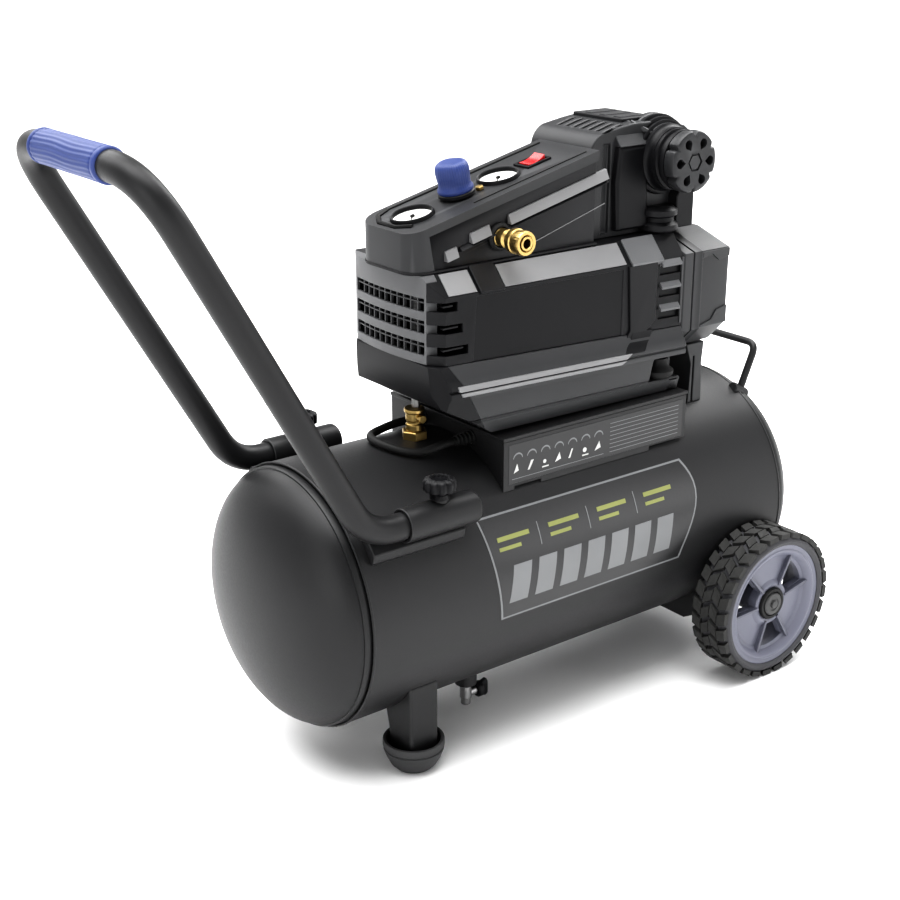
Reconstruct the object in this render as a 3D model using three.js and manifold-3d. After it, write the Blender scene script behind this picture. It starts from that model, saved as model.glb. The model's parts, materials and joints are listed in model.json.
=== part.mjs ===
// Portable air compressor with a horizontal 8 gallon (30 litre) tank on two wheels and two feet.
// An oil-free, direct-drive pump with its motor sits on a steel bracket on top of the tank.
//
// Millimetres, +Z up. +X runs from the push handle towards the wheels, and -Y is the side with
// the outlet, the gauges and the air filter. "Left" is -X, "right" is +X, "front" is -Y.
import * as THREE from "three";
import { mergeVertices } from "three/addons/utils/BufferGeometryUtils.js";
import Module from "manifold-3d";

const wasm = await Module();
wasm.setup();

// ---------------------------------------------------------------- driving dimensions

const GAP = 0.3; // clearance between pieces that touch
const RAD = Math.PI / 180;

// Tank: a rolled shell with a dished head welded into each end
const TANK_RADIUS = 127;
const TANK_WALL = 2.6;
const TANK_AXIS_Z = 165;
const SEAM_X = 262; // end of the shell
const HEAD_DEPTH = 60; // how far a head stands out of its seam
const HEAD_SKIRT = 24; // straight part of a head inside the shell

// Running gear
const WHEEL_X = 214;
const WHEEL_RADIUS = 80;
const WHEEL_WIDTH = 46;
const WHEEL_OUTER_Y = 175;
const RIM_RADIUS = 66;
const AXLE_RADIUS = 6;
const FOOT_X = -193;
const FOOT_Y = 87;
const LEG_X = 32;
const LEG_Y = 36;

// Push handle and its clamps
const TUBE_RADIUS = 12.5;
const HANDLE_Y = 113; // half the distance between the two tubes
const HANDLE_Z = 262.5;
const HANDLE_CORNER_X = -260;
const HANDLE_TOP_X = -445;
const HANDLE_TOP_Z = 591;
const GRIP_LENGTH = 122;
const GRIP_RADIUS = 15.5;
const SLEEVE_LEFT = -222;
const SLEEVE_RIGHT = -142;
const CLAMP_X = -181;

// Pump housing, as the outside of its shells
const HALF_WIDTH = 80; // front and back faces at y = -80 and y = +80
const SHOULDER_HALF_WIDTH = 63; // width of the flat top
const TOP_Z = 466;
const SHOULDER_Z = 448;
const SPLIT_Z = 386; // seam between upper and lower shells
const BASE_Z = 313;
const SKIN = 3;
const COWL_LEFT = -166;
const COWL_RIGHT = -149;
const BODY_RIGHT = 146;
const END_LEFT = 152;
const END_RIGHT = 216;
const STAY_X = 200;
const GRILLE_ROWS = 3;
const GRILLE_BARS = 9;

// Motor and pump, on one axis along X
const MOTOR_Z = 392;
const STATOR_LEFT = -92;
const STATOR_RIGHT = 0;
const SHAFT_RADIUS = 7;
const FAN_X = -106;
const FAN_RADIUS = 55;
const CRANK_X = 95;
const CRANK_THROW = 11;
const ECCENTRIC_RADIUS = 20;
const BORE_RADIUS = 30;
const CYLINDER_BASE_Z = 452;
const CYLINDER_TOP_Z = 528;
const HEAD_HALF_WIDTH = 34;
const HEAD_PORT_Z = 533; // where the discharge tube meets the head

// Check valve on the tank and the discharge tube from it to the head
const CHECK_X = -124;
const CHECK_TOP_Z = 322;
const TUBE_RUN_Z = 457.5;
const TUBE_RISE_X = 26;

// Control console: a box with a sloped top panel
const CONSOLE_LEFT = -173;
const CONSOLE_RIGHT = 45;
const CONSOLE_FRONT = -62;
const CONSOLE_BACK = 24;
const CONSOLE_LOW_Z = 503;
const CONSOLE_HIGH_Z = 556;
const PANEL_Y = -22; // the line that the gauges, knob and switch sit on
const GAUGE_RADIUS = 19.5;

// Bracket between the tank and the pump
const BRACKET_LEFT = -90;
const BRACKET_RIGHT = 149;
const BRACKET_HALF_WIDTH = 88;
const BRACKET_TOP_Z = 308;
const BRACKET_WALL = 3;

// ---------------------------------------------------------------- materials

const paint = (color, roughness, metalness) =>
  new THREE.MeshStandardMaterial({ color, roughness, metalness });
const BLACK_PAINT = paint(0x26272a, 0.42, 0.25);
const BLACK_PLASTIC = paint(0x1d1e20, 0.55, 0);
const GREY_PLASTIC = paint(0x44464b, 0.55, 0);
const BLUE_PLASTIC = paint(0x2e4a93, 0.5, 0);
const RED_PLASTIC = paint(0xc41b1f, 0.35, 0);
const RIM_PLASTIC = paint(0x868799, 0.5, 0);
const RUBBER = paint(0x1b1b1c, 0.85, 0);
const TYRE_RUBBER = paint(0x26262a, 0.9, 0);
const BRASS = paint(0xb5893c, 0.35, 1);
const STEEL = paint(0xa9abae, 0.35, 1);
const ALUMINIUM = paint(0xb9bbbd, 0.4, 1);
const IRON = paint(0x5a5b5e, 0.6, 0.8);
const GAUGE_WHITE = paint(0xe8e8e4, 0.5, 0);

// ---------------------------------------------------------------- shape helpers

// A closed three.js geometry as a manifold solid, for cutting and joining
function solid(geometry) {
  const bare = geometry.index ? geometry.toNonIndexed() : geometry.clone();
  const merged = mergeVertices(
    new THREE.BufferGeometry().setAttribute("position", bare.getAttribute("position")),
    1e-4,
  );
  return new wasm.Manifold(
    new wasm.Mesh({
      numProp: 3,
      vertProperties: merged.attributes.position.array,
      triVerts: new Uint32Array(merged.index.array),
    }),
  );
}

function geometryOf(manifold) {
  const mesh = manifold.getMesh();
  const geometry = new THREE.BufferGeometry();
  geometry.setAttribute("position", new THREE.BufferAttribute(mesh.vertProperties, 3));
  geometry.setIndex(new THREE.BufferAttribute(mesh.triVerts, 1));
  return geometry.toNonIndexed();
}

// The first geometry without all the others
function cut(first, ...others) {
  return geometryOf(others.reduce((all, other) => all.subtract(solid(other)), solid(first)));
}

// All the geometries as one
function join(first, ...others) {
  return geometryOf(others.reduce((all, other) => all.add(solid(other)), solid(first)));
}

// What two geometries share
function common(first, second) {
  return geometryOf(solid(first).intersect(solid(second)));
}

// A box from its low and high corners
function box([x0, y0, z0], [x1, y1, z1]) {
  return new THREE.BoxGeometry(x1 - x0, y1 - y0, z1 - z0).translate(
    (x0 + x1) / 2,
    (y0 + y1) / 2,
    (z0 + z1) / 2,
  );
}

// Turns a shape whose axis is +Z so that its axis is +X, +Y or +Z
function along(axis, geometry) {
  if (axis === "x") return geometry.rotateY(90 * RAD);
  if (axis === "y") return geometry.rotateX(-90 * RAD);
  return geometry;
}

// A round bar on an axis, from low to high, through the point [x, y, z]
function bar(axis, radius, low, high, [x, y, z], sides = 24) {
  const geometry = new THREE.CylinderGeometry(radius, radius, high - low, sides).rotateX(90 * RAD);
  geometry.translate(0, 0, (low + high) / 2);
  return along(axis, geometry).translate(x, y, z);
}

// A turned piece from [radius, height] points that start and end on the axis or close on themselves
function turned(axis, profile, [x, y, z], sides = 32) {
  const points = profile.map(([r, h]) => new THREE.Vector2(r, h));
  const geometry = new THREE.LatheGeometry(points, sides).rotateX(90 * RAD);
  return along(axis, geometry).translate(x, y, z);
}

// A ring-shaped bar with an inner and an outer radius
function ring(axis, inner, outer, low, high, centre, sides = 32) {
  const profile = [
    [inner, low],
    [outer, low],
    [outer, high],
    [inner, high],
    [inner, low],
  ];
  return turned(axis, profile, centre, sides);
}

// An outline of [x, z] points made solid from y = low to y = high
function sideSlab(outline, low, high) {
  const shape = new THREE.Shape(outline.map(([x, z]) => new THREE.Vector2(x, z)));
  const geometry = new THREE.ExtrudeGeometry(shape, { depth: high - low, bevelEnabled: false });
  return geometry.rotateX(90 * RAD).translate(0, high, 0);
}

// An outline of [y, z] points made solid from x = low to x = high
function endSlab(outline, low, high) {
  const shape = new THREE.Shape(outline.map(([y, z]) => new THREE.Vector2(y, z)));
  const geometry = new THREE.ExtrudeGeometry(shape, { depth: high - low, bevelEnabled: false });
  return geometry.rotateX(90 * RAD).rotateZ(90 * RAD).translate(low, 0, 0);
}

// An outline of [x, y] points made solid from z = low to z = high
function planSlab(outline, low, high) {
  const shape = new THREE.Shape(outline.map(([x, y]) => new THREE.Vector2(x, y)));
  const geometry = new THREE.ExtrudeGeometry(shape, { depth: high - low, bevelEnabled: false });
  return geometry.translate(0, 0, low);
}

// A straight-sided path with its corners rounded
function roundedPath(corners, radius) {
  const path = new THREE.CurvePath();
  let start = corners[0].clone();
  for (let i = 1; i < corners.length - 1; i += 1) {
    const before = corners[i - 1].clone().sub(corners[i]).normalize();
    const after = corners[i + 1].clone().sub(corners[i]).normalize();
    const reach = radius / Math.tan(before.angleTo(after) / 2);
    const enter = corners[i].clone().addScaledVector(before, reach);
    const leave = corners[i].clone().addScaledVector(after, reach);
    path.add(new THREE.LineCurve3(start, enter));
    path.add(new THREE.QuadraticBezierCurve3(enter, corners[i].clone(), leave));
    start = leave;
  }
  path.add(new THREE.LineCurve3(start, corners[corners.length - 1].clone()));
  return path;
}

// A round rod or tube along a path
function sweep(path, radius, sides, steps) {
  const section = new THREE.Shape();
  for (let i = 0; i < sides; i += 1) {
    const angle = (i / sides) * 2 * Math.PI;
    const x = radius * Math.cos(angle);
    const y = radius * Math.sin(angle);
    if (i === 0) section.moveTo(x, y);
    else section.lineTo(x, y);
  }
  return new THREE.ExtrudeGeometry(section, { steps, extrudePath: path, bevelEnabled: false });
}

const point = (x, y, z) => new THREE.Vector3(x, y, z);

const compressor = new THREE.Group();

function place(name, geometry, material, parent = compressor) {
  const mesh = new THREE.Mesh(geometry, material);
  mesh.name = name;
  parent.add(mesh);
  return mesh;
}

// The tank as a plain bar, grown by the gap, that cuts whatever rests on it
const tankCutter = () =>
  bar("x", TANK_RADIUS + GAP, -SEAM_X, SEAM_X, [0, 0, TANK_AXIS_Z], 96);

// ---------------------------------------------------------------- tank

function tankShell() {
  return ring("x", TANK_RADIUS - TANK_WALL, TANK_RADIUS, -SEAM_X, SEAM_X, [0, 0, TANK_AXIS_Z], 48);
}

// A dished head: a straight skirt that slips into the shell, then a flattened half ellipsoid
function tankHead() {
  const outer = TANK_RADIUS - TANK_WALL - GAP;
  const inner = outer - TANK_WALL;
  const arcSteps = 5;
  const profile = [[outer, -HEAD_SKIRT]];
  for (let i = 0; i <= arcSteps; i += 1) {
    const angle = (i / arcSteps) * 90 * RAD;
    profile.push([outer * Math.cos(angle), HEAD_DEPTH * Math.sin(angle)]);
  }
  for (let i = arcSteps; i >= 0; i -= 1) {
    const angle = (i / arcSteps) * 90 * RAD;
    profile.push([inner * Math.cos(angle), (HEAD_DEPTH - TANK_WALL) * Math.sin(angle)]);
  }
  profile.push([inner, -HEAD_SKIRT], [outer, -HEAD_SKIRT]);
  profile[arcSteps + 1][0] = 0;
  profile[arcSteps + 2][0] = 0;
  return turned("x", profile, [0, 0, 0], 36);
}

place("tank_shell", tankShell(), BLACK_PAINT);
for (const [name, side] of [
  ["tank_head_left", -1],
  ["tank_head_right", 1],
]) {
  const head = place(name, tankHead(), BLACK_PAINT);
  head.rotation.z = side < 0 ? Math.PI : 0;
  head.position.set(side * SEAM_X, 0, TANK_AXIS_Z);
}

// ---------------------------------------------------------------- legs and rubber feet

const FOOT_HEIGHT = 30;
const FOOT_RECESS_Z = 13;
const LEG_WALL = 3;

function leg(side) {
  const y = side * FOOT_Y;
  const low = FOOT_RECESS_Z + GAP;
  const outside = box(
    [FOOT_X - LEG_X / 2, y - LEG_Y / 2, low],
    [FOOT_X + LEG_X / 2, y + LEG_Y / 2, 130],
  );
  const inside = box(
    [FOOT_X - LEG_X / 2 + LEG_WALL, y - LEG_Y / 2 + LEG_WALL, low + LEG_WALL],
    [FOOT_X + LEG_X / 2 - LEG_WALL, y + LEG_Y / 2 - LEG_WALL, 140],
  );
  const above = box([FOOT_X - LEG_X, y - LEG_Y, 125], [FOOT_X + LEG_X, y + LEG_Y, 135]);
  return cut(outside, inside, tankCutter(), above);
}

// A rubber cup that narrows to the floor, with a pocket for the leg
function foot(side) {
  const pocket = 25.5;
  const profile = [
    [0, 0],
    [19, 0],
    [22, 3],
    [28, 17],
    [29.5, 24],
    [29.5, FOOT_HEIGHT],
    [pocket, FOOT_HEIGHT],
    [pocket, FOOT_RECESS_Z],
    [0, FOOT_RECESS_Z],
  ];
  return turned("z", profile, [FOOT_X, side * FOOT_Y, 0], 24);
}

for (const [end, side] of [
  ["front", -1],
  ["rear", 1],
]) {
  place("leg_" + end, leg(side), BLACK_PAINT);
  place("foot_" + end, foot(side), RUBBER);
}

// ---------------------------------------------------------------- axle bracket, bolts and wheels

const HUB_FACE_Y = 166;
const AXLE_BRACKET_Y = 121;

// A pressed cross member under the tank with a raised end for each wheel
function axleBracket() {
  const outline = [
    [-AXLE_BRACKET_Y, 62],
    [-62, 28],
    [62, 28],
    [AXLE_BRACKET_Y, 62],
    [AXLE_BRACKET_Y, 98],
    [-AXLE_BRACKET_Y, 98],
  ];
  const block = endSlab(outline, WHEEL_X - 19, WHEEL_X + 19);
  const holes = [-1, 1].map((side) => {
    const ends = [side * 90, side * 130].sort((a, b) => a - b);
    return bar("y", AXLE_RADIUS + GAP, ends[0], ends[1], [WHEEL_X, 0, WHEEL_RADIUS], 24);
  });
  return cut(block, tankCutter(), ...holes);
}

// A shoulder bolt: its shank in the bracket, a round head outside the hub
function axleBolt() {
  const profile = [
    [0, 102],
    [AXLE_RADIUS, 102],
    [AXLE_RADIUS, HUB_FACE_Y + GAP],
    [12.5, HUB_FACE_Y + GAP],
    [12.5, HUB_FACE_Y + 4],
    [9, HUB_FACE_Y + 7],
    [0, HUB_FACE_Y + 7],
  ];
  return turned("y", profile, [0, 0, 0], 24);
}

// The tyre's section, round-shouldered, closed on itself
function tyre() {
  const low = WHEEL_OUTER_Y - WHEEL_WIDTH;
  const high = WHEEL_OUTER_Y;
  const profile = [
    [RIM_RADIUS + GAP, low + 3],
    [RIM_RADIUS + 6, low],
    [WHEEL_RADIUS - 4, low],
    [WHEEL_RADIUS, low + 6],
    [WHEEL_RADIUS, high - 6],
    [WHEEL_RADIUS - 4, high],
    [RIM_RADIUS + 6, high],
    [RIM_RADIUS + GAP, high - 3],
    [RIM_RADIUS + GAP, low + 3],
  ];
  return turned("y", profile, [0, 0, 0], 36);
}

// A sector of a ring between two radii and two angles, solid from y = low to y = high
function sector(inner, outer, from, to, low, high) {
  const shape = new THREE.Shape();
  shape.absarc(0, 0, outer, from, to, false);
  shape.absarc(0, 0, inner, to, from, true);
  const geometry = new THREE.ExtrudeGeometry(shape, {
    depth: high - low,
    bevelEnabled: false,
    curveSegments: 3,
  });
  return geometry.rotateX(90 * RAD).translate(0, high, 0);
}

// A moulded rim: hub, web, outer band, three open windows and three shallow pockets between them
function rim() {
  const low = WHEEL_OUTER_Y - WHEEL_WIDTH + 4;
  const high = WHEEL_OUTER_Y - 3;
  const web = 150;
  const profile = [
    [AXLE_RADIUS + GAP, AXLE_BRACKET_Y + 2],
    [16, AXLE_BRACKET_Y + 2],
    [18, web - 8],
    [RIM_RADIUS - 8, web - 8],
    [RIM_RADIUS - 6, low],
    [RIM_RADIUS, low],
    [RIM_RADIUS, high],
    [RIM_RADIUS - 9, high],
    [RIM_RADIUS - 13, web + 6],
    [22, web + 10],
    [20, HUB_FACE_Y],
    [AXLE_RADIUS + GAP, HUB_FACE_Y],
    [AXLE_RADIUS + GAP, AXLE_BRACKET_Y + 2],
  ];
  const disc = turned("y", profile, [0, 0, 0], 24);
  const tools = [];
  for (let i = 0; i < 3; i += 1) {
    const start = (i * 120 + 10) * RAD;
    tools.push(sector(27, 48, start, start + 40 * RAD, 120, 180));
    tools.push(sector(27, 48, start + 60 * RAD, start + 100 * RAD, web + 1, 180));
  }
  return cut(disc, ...tools);
}

place("axle_bracket", axleBracket(), BLACK_PAINT);
for (const [end, side] of [
  ["front", -1],
  ["rear", 1],
]) {
  const wheel = new THREE.Group();
  wheel.position.set(WHEEL_X, 0, WHEEL_RADIUS);
  wheel.rotation.z = side < 0 ? Math.PI : 0;
  place("axle_bolt_" + end, axleBolt(), STEEL, wheel);
  place("tyre_" + end, tyre(), TYRE_RUBBER, wheel);
  place("rim_" + end, rim(), RIM_PLASTIC, wheel);
  compressor.add(wheel);
}

// ---------------------------------------------------------------- lifting bail on the wheel end

const BAIL_Y = 55;
const BAIL_FOOT_X = 270;
const BAIL_TOP_X = 291;
const BAIL_TOP_Z = 324;
const BAIL_ROD = 4;

function liftBail() {
  const footZ = TANK_AXIS_Z + 112;
  const corners = [
    point(BAIL_FOOT_X, -BAIL_Y, footZ),
    point(BAIL_TOP_X, -BAIL_Y, BAIL_TOP_Z),
    point(BAIL_TOP_X, BAIL_Y, BAIL_TOP_Z),
    point(BAIL_FOOT_X, BAIL_Y, footZ),
  ];
  const rod = sweep(roundedPath(corners, 12), BAIL_ROD, 8, 28);
  const pads = [-1, 1].map((side) =>
    box(
      [BAIL_FOOT_X - 10, side * BAIL_Y - 8, footZ - 16],
      [BAIL_FOOT_X + 10, side * BAIL_Y + 8, footZ + 2],
    ),
  );
  const headSurface = new THREE.SphereGeometry(1, 48, 24).scale(
    HEAD_DEPTH + GAP + 1,
    TANK_RADIUS - TANK_WALL + GAP + 1,
    TANK_RADIUS - TANK_WALL + GAP + 1,
  );
  headSurface.translate(SEAM_X, 0, TANK_AXIS_Z);
  return cut(join(rod, ...pads), headSurface, tankCutter());
}

place("lift_bail", liftBail(), BLACK_PAINT);

// ---------------------------------------------------------------- handle, sleeves and clamps

const SLEEVE_RADIUS = 15.7;
const SLEEVE_BORE = TUBE_RADIUS + 0.4;
const CLAMP_SCREW = 3.2;

// A sleeve with a closed far end, on a saddle welded to the tank
function handleSleeve(side) {
  const y = side * HANDLE_Y;
  const saddle = box([SLEEVE_LEFT + 14, -11, 0], [SLEEVE_RIGHT - 8, 11, 24]);
  const reach = Math.hypot(HANDLE_Y, HANDLE_Z - TANK_AXIS_Z);
  saddle.translate(0, 0, reach - 24);
  saddle.rotateX(-side * Math.atan2(HANDLE_Y, HANDLE_Z - TANK_AXIS_Z));
  saddle.translate(0, 0, TANK_AXIS_Z);
  const barrel = bar("x", SLEEVE_RADIUS, SLEEVE_LEFT, SLEEVE_RIGHT, [0, y, HANDLE_Z], 24);
  const boss = bar("z", 8, HANDLE_Z, HANDLE_Z + SLEEVE_RADIUS + 1, [CLAMP_X, y, 0], 24);
  const bore = bar("x", SLEEVE_BORE, SLEEVE_LEFT - 1, SLEEVE_RIGHT - 3, [0, y, HANDLE_Z], 24);
  const screw = bar("z", CLAMP_SCREW + GAP, HANDLE_Z, HANDLE_Z + 30, [CLAMP_X, y, 0], 16);
  return cut(join(barrel, saddle, boss), bore, screw, tankCutter());
}

// Both tubes and the cross bar between them, bent from one length
function handleFrame() {
  const inside = SLEEVE_RIGHT - 12;
  const corners = [
    point(inside, -HANDLE_Y, HANDLE_Z),
    point(HANDLE_CORNER_X, -HANDLE_Y, HANDLE_Z),
    point(HANDLE_TOP_X, -HANDLE_Y, HANDLE_TOP_Z),
    point(HANDLE_TOP_X, HANDLE_Y, HANDLE_TOP_Z),
    point(HANDLE_CORNER_X, HANDLE_Y, HANDLE_Z),
    point(inside, HANDLE_Y, HANDLE_Z),
  ];
  return sweep(roundedPath(corners, 48), TUBE_RADIUS, 10, 52);
}

function handleGrip() {
  return ring(
    "y",
    TUBE_RADIUS + GAP,
    GRIP_RADIUS,
    -GRIP_LENGTH / 2,
    GRIP_LENGTH / 2,
    [HANDLE_TOP_X, 0, HANDLE_TOP_Z],
    32,
  );
}

// A fluted knob on a screw that presses on the tube
function clampKnob(side) {
  const low = HANDLE_Z + SLEEVE_RADIUS + 1 + GAP;
  const y = side * HANDLE_Y;
  const profile = [
    [0, HANDLE_Z + TUBE_RADIUS + GAP],
    [CLAMP_SCREW, HANDLE_Z + TUBE_RADIUS + GAP],
    [CLAMP_SCREW, low],
    [10, low],
    [14.5, low + 4],
    [14.5, low + 16],
    [12, low + 19],
    [0, low + 19],
  ];
  const body = turned("z", profile, [CLAMP_X, y, 0], 24);
  const flutes = [];
  for (let i = 0; i < 8; i += 1) {
    const angle = (i / 8) * 2 * Math.PI;
    const x = CLAMP_X + 16 * Math.cos(angle);
    flutes.push(bar("z", 3, low - 1, low + 30, [x, y + 16 * Math.sin(angle), 0], 8));
  }
  return cut(body, ...flutes);
}

place("handle_frame", handleFrame(), BLACK_PAINT);
place("handle_grip", handleGrip(), BLUE_PLASTIC);
for (const [end, side] of [
  ["front", -1],
  ["rear", 1],
]) {
  place("handle_sleeve_" + end, handleSleeve(side), BLACK_PAINT);
  place("clamp_knob_" + end, clampKnob(side), BLACK_PLASTIC);
}

// ---------------------------------------------------------------- drain valve under the tank

const DRAIN_X = -100;
const DRAIN_Y = -48;
const DRAIN_STEM_Z = 27;

function drainValveBody() {
  const body = bar("z", 6.5, 16, 60, [DRAIN_X, DRAIN_Y, 0], 16);
  const boss = bar("z", 11, 40, 60, [DRAIN_X, DRAIN_Y, 0], 16);
  const outlet = bar("z", 3, 10, 24, [DRAIN_X, DRAIN_Y, 0], 12);
  const neck = bar("x", 4.5, 0, 12, [DRAIN_X, DRAIN_Y, DRAIN_STEM_Z], 12);
  return cut(join(body, boss, neck), outlet, tankCutter());
}

function drainKnob() {
  const disc = bar("x", 8, 12 + GAP, 19, [DRAIN_X, DRAIN_Y, DRAIN_STEM_Z], 16);
  const wing = box(
    [DRAIN_X + 15, DRAIN_Y - 2.5, DRAIN_STEM_Z - 10],
    [DRAIN_X + 26, DRAIN_Y + 2.5, DRAIN_STEM_Z + 10],
  );
  return join(disc, wing);
}

place("drain_valve_body", drainValveBody(), STEEL);
place("drain_knob", drainKnob(), BLACK_PLASTIC);

// ---------------------------------------------------------------- pump bracket and isolators

const RELIEF_Z = 296;
const RELIEF_FRONT_Y = -42;
const RELIEF_REAR_Y = 34;
const RELIEF_BORE = 5;

// An upturned pressed tray: a top plate with four skirts that follow the tank
function pumpBracket() {
  const outside = box(
    [BRACKET_LEFT, -BRACKET_HALF_WIDTH, 240],
    [BRACKET_RIGHT, BRACKET_HALF_WIDTH, BRACKET_TOP_Z],
  );
  const inside = box(
    [BRACKET_LEFT + BRACKET_WALL, BRACKET_WALL - BRACKET_HALF_WIDTH, 230],
    [
      BRACKET_RIGHT - BRACKET_WALL,
      BRACKET_HALF_WIDTH - BRACKET_WALL,
      BRACKET_TOP_Z - BRACKET_WALL,
    ],
  );
  const leadHoles = [RELIEF_FRONT_Y, RELIEF_REAR_Y].map((y) =>
    bar("x", RELIEF_BORE + GAP, BRACKET_LEFT - 5, BRACKET_LEFT + 5, [0, y, RELIEF_Z], 16),
  );
  return cut(outside, inside, tankCutter(), ...leadHoles);
}

function isolator(x, y) {
  const low = BRACKET_TOP_Z + GAP;
  const high = BASE_Z + SKIN + 14;
  const profile = [
    [0, low],
    [12, low],
    [12, low + 5],
    [9, low + 8],
    [9, high - 6],
    [12, high - 4],
    [12, high],
    [0, high],
  ];
  return turned("z", profile, [x, y, 0], 12);
}

place("pump_bracket", pumpBracket(), BLACK_PAINT);
let isolatorNumber = 0;
for (const x of [-60, 112]) {
  for (const y of [-36, 36]) {
    isolatorNumber += 1;
    place("isolator_" + isolatorNumber, isolator(x, y), RUBBER);
  }
}

// ---------------------------------------------------------------- pump housing shells

// Cross-section of the upper housing, moved in from the outside by `inset`
function upperSection(inset, low) {
  const side = HALF_WIDTH - inset;
  const shoulder = SHOULDER_HALF_WIDTH - inset * 0.3;
  return [
    [-side, low],
    [side, low],
    [side, SHOULDER_Z - inset * 0.6],
    [shoulder, TOP_Z - inset],
    [-shoulder, TOP_Z - inset],
    [-side, SHOULDER_Z - inset * 0.6],
  ];
}

// Plan outline of the housing with the rear corner at the fan end cut off
function housingPlan(inset, right) {
  const left = COWL_LEFT + inset;
  const side = HALF_WIDTH - inset;
  return [
    [left, 3 - side],
    [left + 3, -side],
    [right, -side],
    [right, side],
    [left + 36, side],
    [left, side - 40],
  ];
}

// Fan cowl: the end cap with rows of barred openings
function fanCowl() {
  const low = SPLIT_Z + GAP;
  const outside = common(
    endSlab(upperSection(0, low), COWL_LEFT, COWL_RIGHT),
    planSlab(housingPlan(0, BODY_RIGHT), low, TOP_Z + 1),
  );
  const inside = common(
    endSlab(upperSection(SKIN, low - 5), COWL_LEFT, COWL_RIGHT + 5),
    planSlab(housingPlan(SKIN, BODY_RIGHT), low - 5, TOP_Z + 1),
  );
  const openings = [];
  const barPitch = 96 / GRILLE_BARS;
  for (let row = 0; row < GRILLE_ROWS; row += 1) {
    const z = 393 + row * 19;
    for (let i = 0; i < GRILLE_BARS; i += 1) {
      const y = -64 + i * barPitch;
      openings.push(
        box([COWL_LEFT - 5, y, z], [COWL_LEFT + SKIN + 2, y + barPitch - 2.4, z + 11]),
      );
    }
  }
  return cut(outside, inside, ...openings);
}

// Upper housing: front and back faces, sloped shoulders, an opening on top for the cylinder
function upperShroud() {
  const low = SPLIT_Z + GAP;
  const left = COWL_RIGHT + GAP;
  const outside = common(
    endSlab(upperSection(0, low), left, BODY_RIGHT),
    planSlab(housingPlan(0, BODY_RIGHT), low, TOP_Z + 1),
  );
  const inside = common(
    endSlab(upperSection(SKIN, low - 5), left - 5, BODY_RIGHT + 5),
    planSlab(housingPlan(SKIN, BODY_RIGHT + 10), low - 5, TOP_Z + 1),
  );
  const cylinderWay = box([54, -42, 440], [142, 42, TOP_Z + 5]);
  const tubeWay = box([TUBE_RISE_X - 14, -6, 455], [TUBE_RISE_X + 6, 6, TOP_Z + 5]);
  const louvres = [];
  for (let i = 0; i < 3; i += 1) {
    const z = 394 + i * 17;
    for (const side of [-1, 1]) {
      louvres.push(box([112, side * 79 - 4, z], [140, side * 79 + 4, z + 8]));
    }
  }
  return cut(outside, inside, cylinderWay, tubeWay, ...louvres);
}

// Lower housing: an open tray whose fan end sweeps up like a scoop
function lowerShroud() {
  const section = (inset, top) => {
    const lip = 90 - inset;
    const foot = 78 - inset;
    const rim = HALF_WIDTH + 1 - inset;
    const base = BASE_Z + inset;
    return [
      [-rim, top],
      [-lip, 368],
      [-lip, 360],
      [-foot, base],
      [foot, base],
      [lip, 360],
      [lip, 368],
      [rim, top],
    ].reverse();
  };
  const profile = (inset, top) => [
    [COWL_LEFT + 1 + inset, top],
    [COWL_LEFT + 5 + inset, 352 + inset * 0.5],
    [-100 + inset * 0.6, BASE_Z + inset],
    [BODY_RIGHT - inset, BASE_Z + inset],
    [BODY_RIGHT - inset, top],
  ];
  const plan = (inset) => [
    [COWL_LEFT + inset, -66 + inset * 0.5],
    [-138 + inset * 0.5, -92 + inset],
    [BODY_RIGHT, -92 + inset],
    [BODY_RIGHT, 92 - inset],
    [-122 + inset * 0.5, 92 - inset],
    [COWL_LEFT + inset, 38 - inset * 0.5],
  ];
  const shell = (inset, top) =>
    common(
      common(
        endSlab(section(inset, top), COWL_LEFT, BODY_RIGHT),
        sideSlab(profile(inset, top), -100, 100),
      ),
      planSlab(plan(inset), BASE_Z - 5, top + 5),
    );
  const baseOpening = box([-78, -56, BASE_Z - 5], [134, 56, BASE_Z + SKIN + 5]);
  const tubeWay = bar("z", 6, BASE_Z, 345, [CHECK_X, 0, 0], 12);
  return cut(shell(0, SPLIT_Z), shell(SKIN, SPLIT_Z + 1), baseOpening, tubeWay);
}

// End cover over the crank end, eight-sided, with a spigot into the upper housing
function endCover() {
  const outline = (inset) => [
    [-58 + inset * 0.4, 343 + inset],
    [58 - inset * 0.4, 343 + inset],
    [HALF_WIDTH - inset, 366 + inset * 0.5],
    [HALF_WIDTH - inset, 446 - inset * 0.5],
    [34 - inset * 0.4, 462 - inset],
    [-34 + inset * 0.4, 462 - inset],
    [-HALF_WIDTH + inset, 446 - inset * 0.5],
    [-HALF_WIDTH + inset, 366 + inset * 0.5],
  ];
  const cap = endSlab(outline(0), END_LEFT, END_RIGHT);
  const spigotSection = [
    [-72, SPLIT_Z + 6],
    [72, SPLIT_Z + 6],
    [72, 440],
    [56, 454],
    [-56, 454],
    [-72, 440],
  ];
  const spigot = endSlab(spigotSection, BODY_RIGHT + GAP, END_LEFT + 1);
  const hollow = endSlab(outline(SKIN), END_LEFT + SKIN, END_RIGHT - SKIN);
  const way = box([BODY_RIGHT - 5, -66, SPLIT_Z + 10], [END_LEFT + 5, 66, 436]);
  return cut(join(cap, spigot), hollow, way);
}

// Steel stay between the tank and the end cover
function pumpStay() {
  const high = 343 - GAP;
  const web = box([STAY_X, -58, 230], [STAY_X + 4, 58, high]);
  const flange = box([STAY_X - 18, -50, high - 4], [STAY_X + 4, 50, high]);
  const opening = box([STAY_X - 5, -26, 300], [STAY_X + 9, 26, 326]);
  return cut(join(web, flange), opening, tankCutter());
}

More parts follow.
